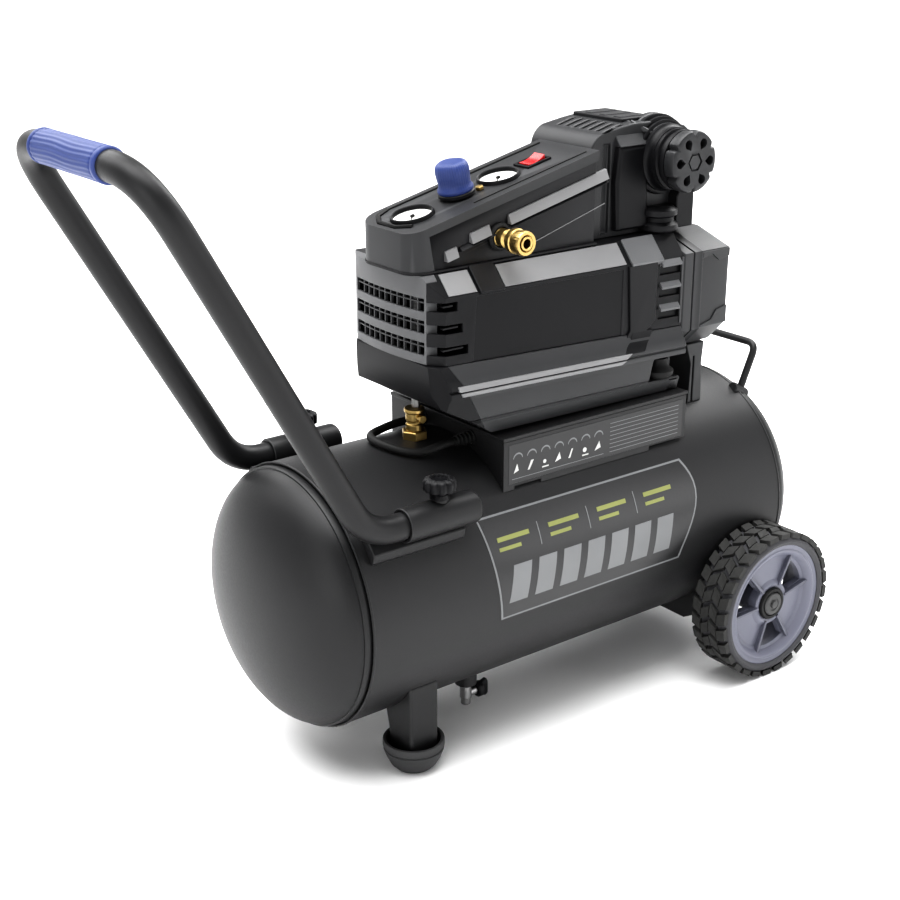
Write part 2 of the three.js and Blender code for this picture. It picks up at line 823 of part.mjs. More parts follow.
place("pump_stay", pumpStay(), BLACK_PAINT);
place("fan_cowl", fanCowl(), GREY_PLASTIC);
place("upper_shroud", upperShroud(), BLACK_PLASTIC);
place("lower_shroud", lowerShroud(), GREY_PLASTIC);
place("end_cover", endCover(), GREY_PLASTIC);

// ---------------------------------------------------------------- motor, crank and cylinder

// Laminated stator on a flat foot that rests on two isolators
function motorStator() {
  const core = bar("x", 58, STATOR_LEFT, STATOR_RIGHT, [0, 0, MOTOR_Z], 32);
  const base = box([STATOR_LEFT + 12, -50, 330.3], [STATOR_RIGHT - 12, 50, 352]);
  const way = bar("x", 36.5, STATOR_LEFT - 5, STATOR_RIGHT + 5, [0, 0, MOTOR_Z], 32);
  return cut(join(core, base), way);
}

// Shaft, rotor core and the eccentric that drives the piston, at the bottom of its stroke
function motorRotor() {
  const shaft = bar("x", SHAFT_RADIUS, FAN_X - 12, 136, [0, 0, MOTOR_Z], 20);
  const core = bar("x", 35.8, STATOR_LEFT + 3, STATOR_RIGHT - 3, [0, 0, MOTOR_Z], 32);
  const throwCentre = [0, 0, MOTOR_Z - CRANK_THROW];
  const eccentric = bar("x", ECCENTRIC_RADIUS, CRANK_X - 9, CRANK_X + 9, throwCentre, 28);
  return join(shaft, core, eccentric);
}

// Cooling fan: a hub with flat, pitched blades
function coolingFan() {
  const bladeCount = 7;
  const hub = bar("x", 20, FAN_X - 10, FAN_X + 10, [0, 0, 0], 20);
  const blades = [];
  for (let i = 0; i < bladeCount; i += 1) {
    const blade = box([-1.3, -12, 16], [1.3, 12, FAN_RADIUS]);
    blade.rotateZ(38 * RAD);
    blade.translate(FAN_X, 0, 0);
    blade.rotateX((i / bladeCount) * 2 * Math.PI);
    blades.push(blade);
  }
  const shaftHole = bar("x", SHAFT_RADIUS + GAP, FAN_X - 20, FAN_X + 20, [0, 0, 0], 20);
  return cut(join(hub, ...blades), shaftHole).translate(0, 0, MOTOR_Z);
}

function crankcase() {
  const outside = box([58, -46, 330.3], [132, 46, CYLINDER_BASE_Z - GAP]);
  const inside = box([66, -40, 346], [124, 40, 444]);
  const shaftWay = bar("x", SHAFT_RADIUS + GAP, 50, 140, [0, 0, MOTOR_Z], 20);
  const cylinderWay = bar("z", BORE_RADIUS, 430, 460, [CRANK_X, 0, 0], 32);
  return cut(outside, inside, shaftWay, cylinderWay);
}

// Finned cylinder, open at both ends
function cylinder() {
  const fins = [];
  for (let i = 0; i < 4; i += 1) {
    const z = CYLINDER_BASE_Z + 14 + i * 15;
    fins.push(bar("z", 37.5, z, z + 3, [CRANK_X, 0, 0], 24));
  }
  const barrel = bar("z", 33.5, CYLINDER_BASE_Z, CYLINDER_TOP_Z, [CRANK_X, 0, 0], 24);
  const bore = bar("z", BORE_RADIUS, CYLINDER_BASE_Z - 1, CYLINDER_TOP_Z + 1, [CRANK_X, 0, 0], 32);
  return cut(join(barrel, ...fins), bore);
}

// Piston on a short rod that ends above the sweep of the eccentric
function pistonRod() {
  const rodEnd = MOTOR_Z + CRANK_THROW + ECCENTRIC_RADIUS + 2;
  const crown = bar("z", BORE_RADIUS - 0.6, 476, 488, [CRANK_X, 0, 0], 32);
  const rod = box([CRANK_X - 6, -9, rodEnd], [CRANK_X + 6, 9, 478]);
  return join(crown, rod);
}

function cylinderHead() {
  const low = CYLINDER_TOP_Z + GAP;
  const half = HEAD_HALF_WIDTH;
  const finPitch = 12.5;
  const plate = box([CRANK_X - half, -half, low], [CRANK_X + half, half, low + 10]);
  const fins = [];
  for (let y = -half; y < half; y += finPitch) {
    fins.push(box([CRANK_X - half, y, low + 9], [CRANK_X + half, y + 4, low + 24]));
  }
  return join(plate, ...fins);
}

place("motor_stator", motorStator(), IRON);
place("motor_rotor", motorRotor(), STEEL);
place("cooling_fan", coolingFan(), BLACK_PLASTIC);
place("crankcase", crankcase(), ALUMINIUM);
place("cylinder", cylinder(), ALUMINIUM);
place("piston_rod", pistonRod(), ALUMINIUM);
place("cylinder_head", cylinderHead(), ALUMINIUM);

// ---------------------------------------------------------------- head cover and air filter

const HOOD_LEFT = 50;
const HOOD_RIGHT = 188;
const HOOD_FRONT = -52;
const HOOD_BACK = 44;
const HOOD_TOP = 577;
const FILTER_X = 144;
const FILTER_Z = 538;
const FILTER_RADIUS = 30;
const FILTER_FACE_Y = -90;

// Hood over the cylinder head, with slots in its top and its rear left corner cut off
function headCover() {
  const low = TOP_Z + GAP;
  const outline = (inset) => [
    [HOOD_LEFT + inset, low - inset],
    [HOOD_RIGHT - inset, low - inset],
    [HOOD_RIGHT - inset, 520],
    [172 - inset, HOOD_TOP - 14 - inset],
    [150, HOOD_TOP - inset],
    [68 + inset, HOOD_TOP - inset],
    [HOOD_LEFT + inset, HOOD_TOP - 16 - inset],
  ];
  const plan = (inset) => [
    [HOOD_LEFT, HOOD_FRONT + inset],
    [HOOD_RIGHT, HOOD_FRONT + inset],
    [HOOD_RIGHT, HOOD_BACK - inset],
    [HOOD_LEFT + 14 + inset * 0.4, HOOD_BACK - inset],
    [HOOD_LEFT, HOOD_BACK - 14 - inset * 1.4],
  ];
  const shell = (inset) =>
    common(
      sideSlab(outline(inset), HOOD_FRONT + inset, HOOD_BACK - inset),
      planSlab(plan(inset), low - 10, HOOD_TOP + 10),
    );
  const slots = [];
  for (let i = 0; i < 5; i += 1) {
    const y = -34 + i * 14;
    slots.push(box([76, y, HOOD_TOP - 8], [124, y + 6, HOOD_TOP + 5]));
  }
  const filterWay = bar("y", 20, HOOD_FRONT - 5, HOOD_FRONT + 15, [FILTER_X, 0, FILTER_Z], 24);
  const tubeWay = bar("x", 6, HOOD_LEFT - 5, HOOD_LEFT + 6, [0, 0, HEAD_PORT_Z], 12);
  return cut(shell(0), shell(SKIN), ...slots, filterWay, tubeWay);
}

function filterHousing() {
  const low = HOOD_FRONT - GAP;
  const profile = [
    [14, low],
    [27, low],
    [27, low - 6],
    [29.5, low - 8],
    [29.5, -76],
    [25.5, -76],
    [25.5, -60],
    [14, -60],
    [14, low],
  ];
  return turned("y", profile.reverse(), [FILTER_X, 0, FILTER_Z], 24);
}

// Twist-off filter cover with six notches and six intake holes
function filterCover() {
  const inner = -76 - GAP;
  const disc = turned(
    "y",
    [
      [0, FILTER_FACE_Y],
      [FILTER_RADIUS - 3, FILTER_FACE_Y],
      [FILTER_RADIUS, FILTER_FACE_Y + 3],
      [FILTER_RADIUS, inner],
      [0, inner],
    ],
    [0, 0, 0],
    36,
  );
  const tools = [];
  for (let i = 0; i < 6; i += 1) {
    const angle = (i * 60 + 30) * RAD;
    const out = FILTER_RADIUS + 2;
    tools.push(bar("y", 4.5, -100, -60, [out * Math.cos(angle), 0, out * Math.sin(angle)], 12));
    const turn = i * 60 * RAD;
    tools.push(bar("y", 4.6, -100, -60, [20 * Math.cos(turn), 0, 20 * Math.sin(turn)], 12));
  }
  return cut(disc, ...tools).translate(FILTER_X, 0, FILTER_Z);
}

place("head_cover", headCover(), BLACK_PLASTIC);
place("filter_housing", filterHousing(), BLACK_PLASTIC);
place("filter_cover", filterCover(), GREY_PLASTIC);

// ---------------------------------------------------------------- control console

const PANEL_SLOPE = Math.atan2(CONSOLE_HIGH_Z - CONSOLE_LOW_Z, CONSOLE_RIGHT - CONSOLE_LEFT);
const GAUGE_TANK_X = -142;
const KNOB_X = -92;
const GAUGE_OUTLET_X = -44;
const SWITCH_X = -3;
const COUPLER_X = -72;
const COUPLER_Z = 489;
const SAFETY_X = -58;

// Height of the panel's outer surface above a point of the X axis
const panelZ = (x) => CONSOLE_LOW_Z + (x - CONSOLE_LEFT) * Math.tan(PANEL_SLOPE);

// A frame on the panel: local +Z stands square on it, local +X runs up the slope
function panelFrame(x) {
  const frame = new THREE.Group();
  frame.position.set(x, PANEL_Y, panelZ(x));
  frame.rotation.y = -PANEL_SLOPE;
  frame.updateMatrix();
  compressor.add(frame);
  return frame;
}

const tankGaugeFrame = panelFrame(GAUGE_TANK_X);
const knobFrame = panelFrame(KNOB_X);
const outletGaugeFrame = panelFrame(GAUGE_OUTLET_X);
const switchFrame = panelFrame(SWITCH_X);

const SWITCH_LENGTH = 20;
const SWITCH_WIDTH = 15;

function controlConsole() {
  const low = TOP_Z + GAP;
  const wedge = (inset) => [
    [CONSOLE_LEFT + inset, low - (inset ? 5 : 0)],
    [CONSOLE_RIGHT - inset, low - (inset ? 5 : 0)],
    [CONSOLE_RIGHT - inset, panelZ(CONSOLE_RIGHT - inset) - inset],
    [CONSOLE_LEFT + inset, panelZ(CONSOLE_LEFT + inset) - inset],
  ];
  const plan = (inset) => [
    [CONSOLE_LEFT + inset, CONSOLE_FRONT + 10],
    [CONSOLE_LEFT + 10, CONSOLE_FRONT + inset],
    [CONSOLE_RIGHT, CONSOLE_FRONT + inset],
    [CONSOLE_RIGHT, CONSOLE_BACK - inset],
    [CONSOLE_LEFT + 26, CONSOLE_BACK - inset],
    [CONSOLE_LEFT + inset, CONSOLE_BACK - 22],
  ];
  const shell = (inset) =>
    common(
      sideSlab(wedge(inset), CONSOLE_FRONT + inset, CONSOLE_BACK - inset),
      planSlab(plan(inset), low - 10, 600),
    );
  const gaugeHoles = [tankGaugeFrame, outletGaugeFrame].map((frame) =>
    bar("z", GAUGE_RADIUS + GAP, -10, 10, [0, 0, 0], 32).applyMatrix4(frame.matrix),
  );
  const stemHole = bar("z", 6, -10, 10, [0, 0, 0], 20).applyMatrix4(knobFrame.matrix);
  const switchHole = box(
    [-SWITCH_LENGTH / 2 - 1.5, -SWITCH_WIDTH / 2 - 0.5, -10],
    [SWITCH_LENGTH / 2 + 1.5, SWITCH_WIDTH / 2 + 0.5, 10],
  ).applyMatrix4(switchFrame.matrix);
  const outlet = bar("y", 9, -80, -50, [COUPLER_X, 0, COUPLER_Z], 24);
  const safetyWay = bar("y", 8, 10, 40, [SAFETY_X, 0, COUPLER_Z], 16);
  const tubeWay = bar("x", 6, 30, 60, [0, 0, HEAD_PORT_Z], 12);
  return cut(
    shell(0),
    shell(SKIN),
    ...gaugeHoles,
    stemHole,
    switchHole,
    outlet,
    safetyWay,
    tubeWay,
  );
}

// Gauge: a bezel and case, with a dial face sunk under the rim and a pin for the needle
function gauge() {
  const profile = [
    [0, -14],
    [GAUGE_RADIUS, -14],
    [GAUGE_RADIUS, 2.5],
    [GAUGE_RADIUS - 2, 2.5],
    [GAUGE_RADIUS - 2, -1],
    [1.2, -1],
    [1.2, -0.4],
    [0, -0.4],
  ];
  return turned("z", profile, [0, 0, 0], 24);
}

// A needle at rest on its zero stop, towards the front left
function gaugeNeedle() {
  const hub = bar("z", 2.2, -0.1, 1, [0, 0, 0], 16);
  const hand = box([-0.6, -4, -0.1], [0.6, 14, 0.7]).rotateZ(135 * RAD);
  return join(hub, hand);
}

// Knurled, slightly tapered regulator knob with a collar under it
function regulatorKnob() {
  const profile = [
    [0, -8],
    [5, -8],
    [5, 0.8],
    [17, 0.8],
    [17, 5],
    [15.5, 7],
    [14, 30],
    [11.5, 33],
    [0, 33],
  ];
  return turned("z", profile, [0, 0, 0], 24);
}

// Rocker: its top is a shallow V, so that one end always stands proud
function powerSwitch() {
  const half = SWITCH_LENGTH / 2;
  const outline = [
    [-half, -6],
    [half, -6],
    [half, 5.5],
    [0, 1.5],
    [-half, 2.5],
  ];
  return sideSlab(outline, -SWITCH_WIDTH / 2, SWITCH_WIDTH / 2);
}

// Pressure switch and manifold block that the gauges, regulator and outlet screw into
function pressureSwitch() {
  const block = box([-112, -44, TOP_Z + GAP], [-34, -2, 497]);
  const outletWay = bar("y", 7 + GAP, -60, -20, [COUPLER_X, 0, COUPLER_Z], 20);
  return cut(block, outletWay);
}

place("control_console", controlConsole(), BLACK_PLASTIC);
place("pressure_switch", pressureSwitch(), BLACK_PLASTIC);
place("gauge_tank", gauge(), GAUGE_WHITE, tankGaugeFrame);
place("gauge_outlet", gauge(), GAUGE_WHITE, outletGaugeFrame);
place("needle_tank", gaugeNeedle(), BLACK_PLASTIC, tankGaugeFrame);
place("needle_outlet", gaugeNeedle(), BLACK_PLASTIC, outletGaugeFrame);
place("regulator_knob", regulatorKnob(), BLUE_PLASTIC, knobFrame);
place("power_switch", powerSwitch(), RED_PLASTIC, switchFrame);

// ---------------------------------------------------------------- outlet coupler and safety valve

const COUPLER_FACE_Y = -98;
const SOCKET_RADIUS = 4.2;
const SOCKET_DEPTH = 28;

// Quick coupler: a stepped body with a blind socket for the hose plug
function outletCoupler() {
  const profile = [
    [0, -24],
    [7, -24],
    [7, -58],
    [8.5, -58],
    [8.5, -71],
    [6.5, -73],
    [6.5, COUPLER_FACE_Y],
    [0, COUPLER_FACE_Y],
  ];
  const centre = [COUPLER_X, 0, COUPLER_Z];
  const low = COUPLER_FACE_Y - 5;
  const high = COUPLER_FACE_Y + SOCKET_DEPTH;
  const socket = bar("y", SOCKET_RADIUS, low, high, centre, 64);
  return cut(turned("y", profile.reverse(), centre, 20), socket);
}

// Sliding collar that releases a plugged-in hose
function couplerSleeve() {
  const profile = [
    [7, -77],
    [9, -76.5],
    [11.5, -80],
    [11.5, -85],
    [10.5, -86],
    [10.5, -90],
    [11.5, -91],
    [11.5, -97],
    [7, -97],
    [7, -77],
  ];
  return turned("y", profile.reverse(), [COUPLER_X, 0, COUPLER_Z], 20);
}

const SAFETY_MOUTH_Y = 46;

// Safety valve, screwed into the manifold and standing out of the console's back
function safetyValveBody() {
  const profile = [
    [0, GAP - 2],
    [6, GAP - 2],
    [6, 27],
    [8, 27],
    [8, 34],
    [6.5, 36],
    [6.5, SAFETY_MOUTH_Y - 1],
    [4, SAFETY_MOUTH_Y],
    [0, SAFETY_MOUTH_Y],
  ];
  return turned("y", profile, [SAFETY_X, 0, COUPLER_Z], 16);
}

// Pull ring on its stem
function safetyRing() {
  const low = SAFETY_MOUTH_Y + GAP;
  const torus = new THREE.TorusGeometry(8, 1.2, 6, 18);
  torus.translate(SAFETY_X, low + 12, COUPLER_Z);
  const stem = bar("y", 1.5, low, low + 5, [SAFETY_X, 0, COUPLER_Z], 10);
  return join(torus, stem);
}

place("outlet_coupler", outletCoupler(), BRASS);
place("coupler_sleeve", couplerSleeve(), BRASS);
place("safety_valve_body", safetyValveBody(), BRASS);
place("safety_ring", safetyRing(), STEEL);

// ---------------------------------------------------------------- check valve and discharge tube

// Check valve on the tank's crest: hexagon, barrel and a pilot port
function checkValve() {
  const hexagon = bar("z", 13, 285, 300, [CHECK_X, 0, 0], 6);
  const barrel = bar("z", 8.5, 298, CHECK_TOP_Z, [CHECK_X, 0, 0], 16);
  const port = bar("y", 4, -14, 0, [CHECK_X, 0, CHECK_TOP_Z - 9], 10);
  return cut(join(hexagon, barrel, port), tankCutter());
}

// Discharge tube: up from the check valve, over the motor and into the side of the cylinder head
function dischargeTube() {
  const corners = [
    point(CHECK_X, 0, CHECK_TOP_Z + GAP),
    point(CHECK_X, 0, TUBE_RUN_Z),
    point(TUBE_RISE_X, 0, TUBE_RUN_Z),
    point(TUBE_RISE_X, 0, HEAD_PORT_Z),
    point(CRANK_X - HEAD_HALF_WIDTH - GAP, 0, HEAD_PORT_Z),
  ];
  return sweep(roundedPath(corners, 12), 4, 6, 48);
}

place("check_valve", checkValve(), BRASS);
place("discharge_tube", dischargeTube(), ALUMINIUM);

// ---------------------------------------------------------------- motor lead looped on the tank

const LEAD_RADIUS = 4;
const RELIEF_LENGTH = 22;

function leadRelief(y) {
  const face = BRACKET_LEFT - GAP;
  const tip = face - RELIEF_LENGTH;
  const profile = [
    [0, BRACKET_LEFT + 4],
    [RELIEF_BORE, BRACKET_LEFT + 4],
    [RELIEF_BORE, face],
    [7.5, face],
    [7.5, face - 4],
    [5, tip],
    [0, tip],
  ];
  return turned("x", profile.reverse(), [0, y, RELIEF_Z], 14);
}

// The lead leaves one relief, loops over the tank and comes back to the other
function motorLead() {
  const tip = BRACKET_LEFT - GAP - RELIEF_LENGTH - GAP;
  const route = [
    [tip, RELIEF_FRONT_Y, RELIEF_Z],
    [-121, RELIEF_FRONT_Y, RELIEF_Z],
    [-131, -41.5, 294.6],
    [-141, -39.5, 292.6],
    [-150.5, -35.5, 292],
    [-159, -29, 293.2],
    [-165.5, -20, 295.1],
    [-169.5, -9.5, 296.4],
    [-170, 1.5, 296.8],
    [-167, 12.5, 296.4],
    [-161, 22, 295],
    [-152.5, 29, 294],
    [-143, 32.5, 294],
    [-133, 33.8, 295],
    [-122, RELIEF_REAR_Y, RELIEF_Z],
    [tip, RELIEF_REAR_Y, RELIEF_Z],
  ];
  const path = new THREE.CatmullRomCurve3(route.map(([x, y, z]) => point(x, y, z)));
  return sweep(path, LEAD_RADIUS, 8, 20);
}

place("lead_relief_front", leadRelief(RELIEF_FRONT_Y), RUBBER);
place("lead_relief_rear", leadRelief(RELIEF_REAR_Y), RUBBER);
place("motor_lead", motorLead(), RUBBER);

// ---------------------------------------------------------------- the shared frame

// The origin is on the floor, midway between the handle's end and the lifting bail's end
const wholeBox = new THREE.Box3().setFromObject(compressor, true);
compressor.position.x = -(wholeBox.min.x + wholeBox.max.x) / 2;

export default compressor;
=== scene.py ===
"""Portable air compressor: the looks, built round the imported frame.

Shapes are made in millimetres in the part's frame (+X towards the wheels, -Y the front, +Z up)
and are scaled to metres as each piece is made. Places come from the boxes of the CAD nodes.
"""
import json
import math

import bmesh
import bpy
from mathutils import Matrix, Vector


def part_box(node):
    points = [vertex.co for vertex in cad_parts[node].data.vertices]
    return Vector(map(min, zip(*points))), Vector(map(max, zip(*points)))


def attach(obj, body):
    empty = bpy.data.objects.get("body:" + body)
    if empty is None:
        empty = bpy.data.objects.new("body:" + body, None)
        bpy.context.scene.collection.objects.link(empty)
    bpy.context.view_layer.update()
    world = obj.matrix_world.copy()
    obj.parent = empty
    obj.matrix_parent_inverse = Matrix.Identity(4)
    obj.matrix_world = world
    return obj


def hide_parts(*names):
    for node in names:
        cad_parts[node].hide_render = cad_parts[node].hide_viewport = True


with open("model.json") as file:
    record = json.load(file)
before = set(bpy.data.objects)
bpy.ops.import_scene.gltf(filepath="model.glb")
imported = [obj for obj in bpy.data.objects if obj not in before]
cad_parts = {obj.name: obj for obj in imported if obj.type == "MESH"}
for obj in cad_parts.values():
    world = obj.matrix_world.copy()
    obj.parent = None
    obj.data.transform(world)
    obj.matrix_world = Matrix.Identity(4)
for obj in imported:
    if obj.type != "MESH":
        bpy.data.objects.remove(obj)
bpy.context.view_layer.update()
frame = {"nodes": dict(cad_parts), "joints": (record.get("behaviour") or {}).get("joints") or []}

MM = 0.001
ROOT = "compressor"
FULL_TURN = 2 * math.pi
ENDS = (("front", -1), ("rear", 1))
WELD = 0.02  # points of a carved mesh closer than this become one
FLAT_ANGLE = 1  # faces of a carved mesh that differ by fewer degrees become one
BEVEL_ANGLE = 28  # edges that turn by more degrees are rounded
SMOOTH_ANGLE = 38  # edges that turn by fewer degrees are shaded smooth


def span(node):
    """A CAD node's lowest and highest corners, in millimetres."""
    low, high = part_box(node)
    return Vector(low) / MM, Vector(high) / MM


def middle(node):
    low, high = span(node)
    return (low + high) / 2


def axis_of(node, axis):
    """A point on the line through a node's middle that runs along an axis."""
    spot = middle(node)
    spot["xyz".index(axis)] = 0
    return spot


# ---- camera


def make_camera():
    camera = bpy.data.objects.new("camera", bpy.data.cameras.new("camera"))
    camera.location = Vector((-855.65, -1099.5, 778.8)) * MM
    camera.rotation_euler = [math.radians(a) for a in (69.79, 0, -37.44)]
    camera.data.sensor_width = 36
    camera.data.lens = 60.37
    bpy.context.collection.objects.link(camera)
    bpy.context.scene.camera = camera


make_camera()

# ---- shapes


def placed(axis, a, b, h):
    """A point given across an axis (a, b) and along it (h)."""
    if axis == "x":
        return Vector((h, a, b))
    if axis == "y":
        return Vector((a, h, b))
    return Vector((a, b, h))


class Shape:
    """Closed forms in millimetres, gathered into one mesh."""

    def __init__(self):
        self.points = []
        self.faces = []

    def add(self, points, faces):
        first = len(self.points)
        self.points += [Vector(p) for p in points]
        self.faces += [[first + i for i in face] for face in faces]
        return self

    def loft(self, rings, closed=False):
        """Joins rings of the same number of points, with a cap on each end unless it closes."""
        count = len(rings[0])
        faces = []
        for r in range(len(rings) if closed else len(rings) - 1):
            low = r * count
            high = (r + 1) % len(rings) * count
            for i in range(count):
                j = (i + 1) % count
                faces.append((low + i, low + j, high + j, high + i))
        if not closed:
            faces.append(range(count))
            faces.append(range((len(rings) - 1) * count, len(rings) * count))
        return self.add([p for ring in rings for p in ring], faces)

    def prism(self, outline, axis, low, high):
        return self.loft([[placed(axis, a, b, h) for a, b in outline] for h in (low, high)])

    def brick(self, low, high):
        outline = [(low[0], low[1]), (high[0], low[1]), (high[0], high[1]), (low[0], high[1])]
        return self.prism(outline, "z", low[2], high[2])

    def turned(self, profile, axis, centre, sides=48, closed=False, wave=None):
        """A turned form from (radius, place along the axis); wave(angle, h) scales the radius."""
        rings = []
        for radius, h in profile:
            ring = []
            for i in range(sides):
                angle = FULL_TURN * i / sides
                r = radius * (wave(angle, h) if wave else 1)
                ring.append(placed(axis, r * math.cos(angle), r * math.sin(angle), h))
            rings.append([p + Vector(centre) for p in ring])
        return self.loft(rings, closed)

    def tube(self, path, radius, sides=16):
        """A round bar along a path, with a radius for the whole or one for each point."""
        path = [Vector(spot) for spot in path]
        radii = radius if isinstance(radius, list) else [radius] * len(path)
        ahead = (path[1] - path[0]).normalized()
        across = ahead.orthogonal().normalized()
        rings = []
        for i, spot in enumerate(path):
            before = path[max(i - 1, 0)]
            after = path[min(i + 1, len(path) - 1)]
            turn = ahead.rotation_difference((after - before).normalized())
            ahead = (after - before).normalized()
            across = turn @ across
            up = ahead.cross(across)
            ring = []
            for k in range(sides):
                angle = FULL_TURN * k / sides
                ring.append(spot + radii[i] * (math.cos(angle) * across + math.sin(angle) * up))
            rings.append(ring)
        return self.loft(rings)

    def moved(self, matrix):
        self.points = [matrix @ p for p in self.points]
        return self

    def joined(self, other):
        return self.add(other.points, other.faces)

    def mirrored(self):
        """Its mirror image on the other side of the XZ plane."""
        return Shape().add([(p.x, -p.y, p.z) for p in self.points], self.faces)


def arc(centre, radius, start, end, steps):
    """Points of an arc in two dimensions, its angles in degrees."""
    points = []
    for i in range(steps + 1):
        angle = math.radians(start + (end - start) * i / steps)
        points.append((centre[0] + radius * math.cos(angle), centre[1] + radius * math.sin(angle)))
    return points


def turned_outline(outline, centre, angle):
    """An outline drawn round the origin, turned and set round a centre."""
    points = []
    for a, b in outline:
        across = a * math.cos(angle) - b * math.sin(angle)
        up = a * math.sin(angle) + b * math.cos(angle)
        points.append((centre[0] + across, centre[1] + up))
    return points


def outwards(profile, side):
    """A profile given for the far side, put on the front or the rear one."""
    return [(radius, side * y) for radius, y in profile]


def rounded_path(corners, radius, steps=10):
    """A path of straight runs whose corners are rounded."""
    corners = [Vector(c) for c in corners]
    path = [corners[0]]
    for before, corner, after in zip(corners, corners[1:], corners[2:]):
        back = (before - corner).normalized()
        on = (after - corner).normalized()
        reach = radius / math.tan(back.angle(on) / 2)
        enter = corner + back * reach
        leave = corner + on * reach
        for i in range(steps + 1):
            t = i / steps
            path.append(enter * (1 - t) ** 2 + corner * 2 * t * (1 - t) + leave * t**2)
    path.append(corners[-1])
    return path


def smooth_path(points, steps=8):
    """A smooth curve through points (Catmull-Rom)."""
    points = [Vector(p) for p in points]
    ends = [2 * points[0] - points[1], *points, 2 * points[-1] - points[-2]]
    path = []
    for a, b, c, d in zip(ends, ends[1:], ends[2:], ends[3:]):
        for i in range(steps):
            t = i / steps
            bend = 2 * b + (c - a) * t + (2 * a - 5 * b + 4 * c - d) * t**2
            path.append(0.5 * (bend + (3 * b - a - 3 * c + d) * t**3))
    path.append(points[-1])
    return path


def mesh_of(form):
    """A Blender mesh in metres, its faces all turned outwards; a mesh stays as it is."""
    if not isinstance(form, Shape):
        return form
    mesh = bpy.data.meshes.new("form")
    mesh.from_pydata([p * MM for p in form.points], [], [list(face) for face in form.faces])
    build = bmesh.new()
    build.from_mesh(mesh)
    bmesh.ops.recalc_face_normals(build, faces=build.faces)
    build.to_mesh(mesh)
    build.free()
    return mesh


def carved(form, shape, operation="DIFFERENCE"):
    """The mesh of a form less a shape, or of only what they share."""
    target = bpy.data.objects.new("target", mesh_of(form))
    tool = bpy.data.objects.new("tool", mesh_of(shape))
    for obj in (target, tool):
        bpy.context.collection.objects.link(obj)
    modifier = target.modifiers.new("carve", "BOOLEAN")
    modifier.operation = operation
    modifier.solver = "EXACT"
    modifier.use_self = True
    modifier.object = tool
    bpy.context.view_layer.update()
    view = bpy.context.evaluated_depsgraph_get()
    result = bpy.data.meshes.new_from_object(target.evaluated_get(view))
    bpy.data.objects.remove(target)
    bpy.data.objects.remove(tool)
    build = bmesh.new()
    build.from_mesh(result)
    bmesh.ops.remove_doubles(build, verts=build.verts, dist=WELD * MM)
    flat = math.radians(FLAT_ANGLE)
    bmesh.ops.dissolve_limit(build, angle_limit=flat, verts=build.verts, edges=build.edges)
    build.to_mesh(result)
    build.free()
    return result


def reshaped(form, change):
    """The mesh of a form with each of its points, in millimetres, put where change says."""
    mesh = mesh_of(form)
    for vertex in mesh.vertices:
        vertex.co = change(vertex.co / MM) * MM
    return mesh


def piece(
    name, form, material, body=ROOT, bevel=0.0, segments=2, replaces=(), smooth=SMOOTH_ANGLE
):
    """Makes a visible piece from a Shape or a mesh, and lets it ride on a CAD body."""
    mesh = mesh_of(form)
    mesh.name = name
    mesh.shade_smooth()
    mesh.set_sharp_from_angle(angle=math.radians(smooth))
    mesh.materials.clear()
    mesh.materials.append(material)
    obj = bpy.data.objects.new(name, mesh)
    bpy.context.collection.objects.link(obj)
    if bevel:
        modifier = obj.modifiers.new("rounded edges", "BEVEL")
        modifier.width = bevel * MM
        modifier.segments = segments
        modifier.limit_method = "ANGLE"
        modifier.angle_limit = math.radians(BEVEL_ANGLE)
        modifier.harden_normals = True
    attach(obj, body)
    if replaces:
        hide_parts(*replaces)
    return obj


# ---- materials


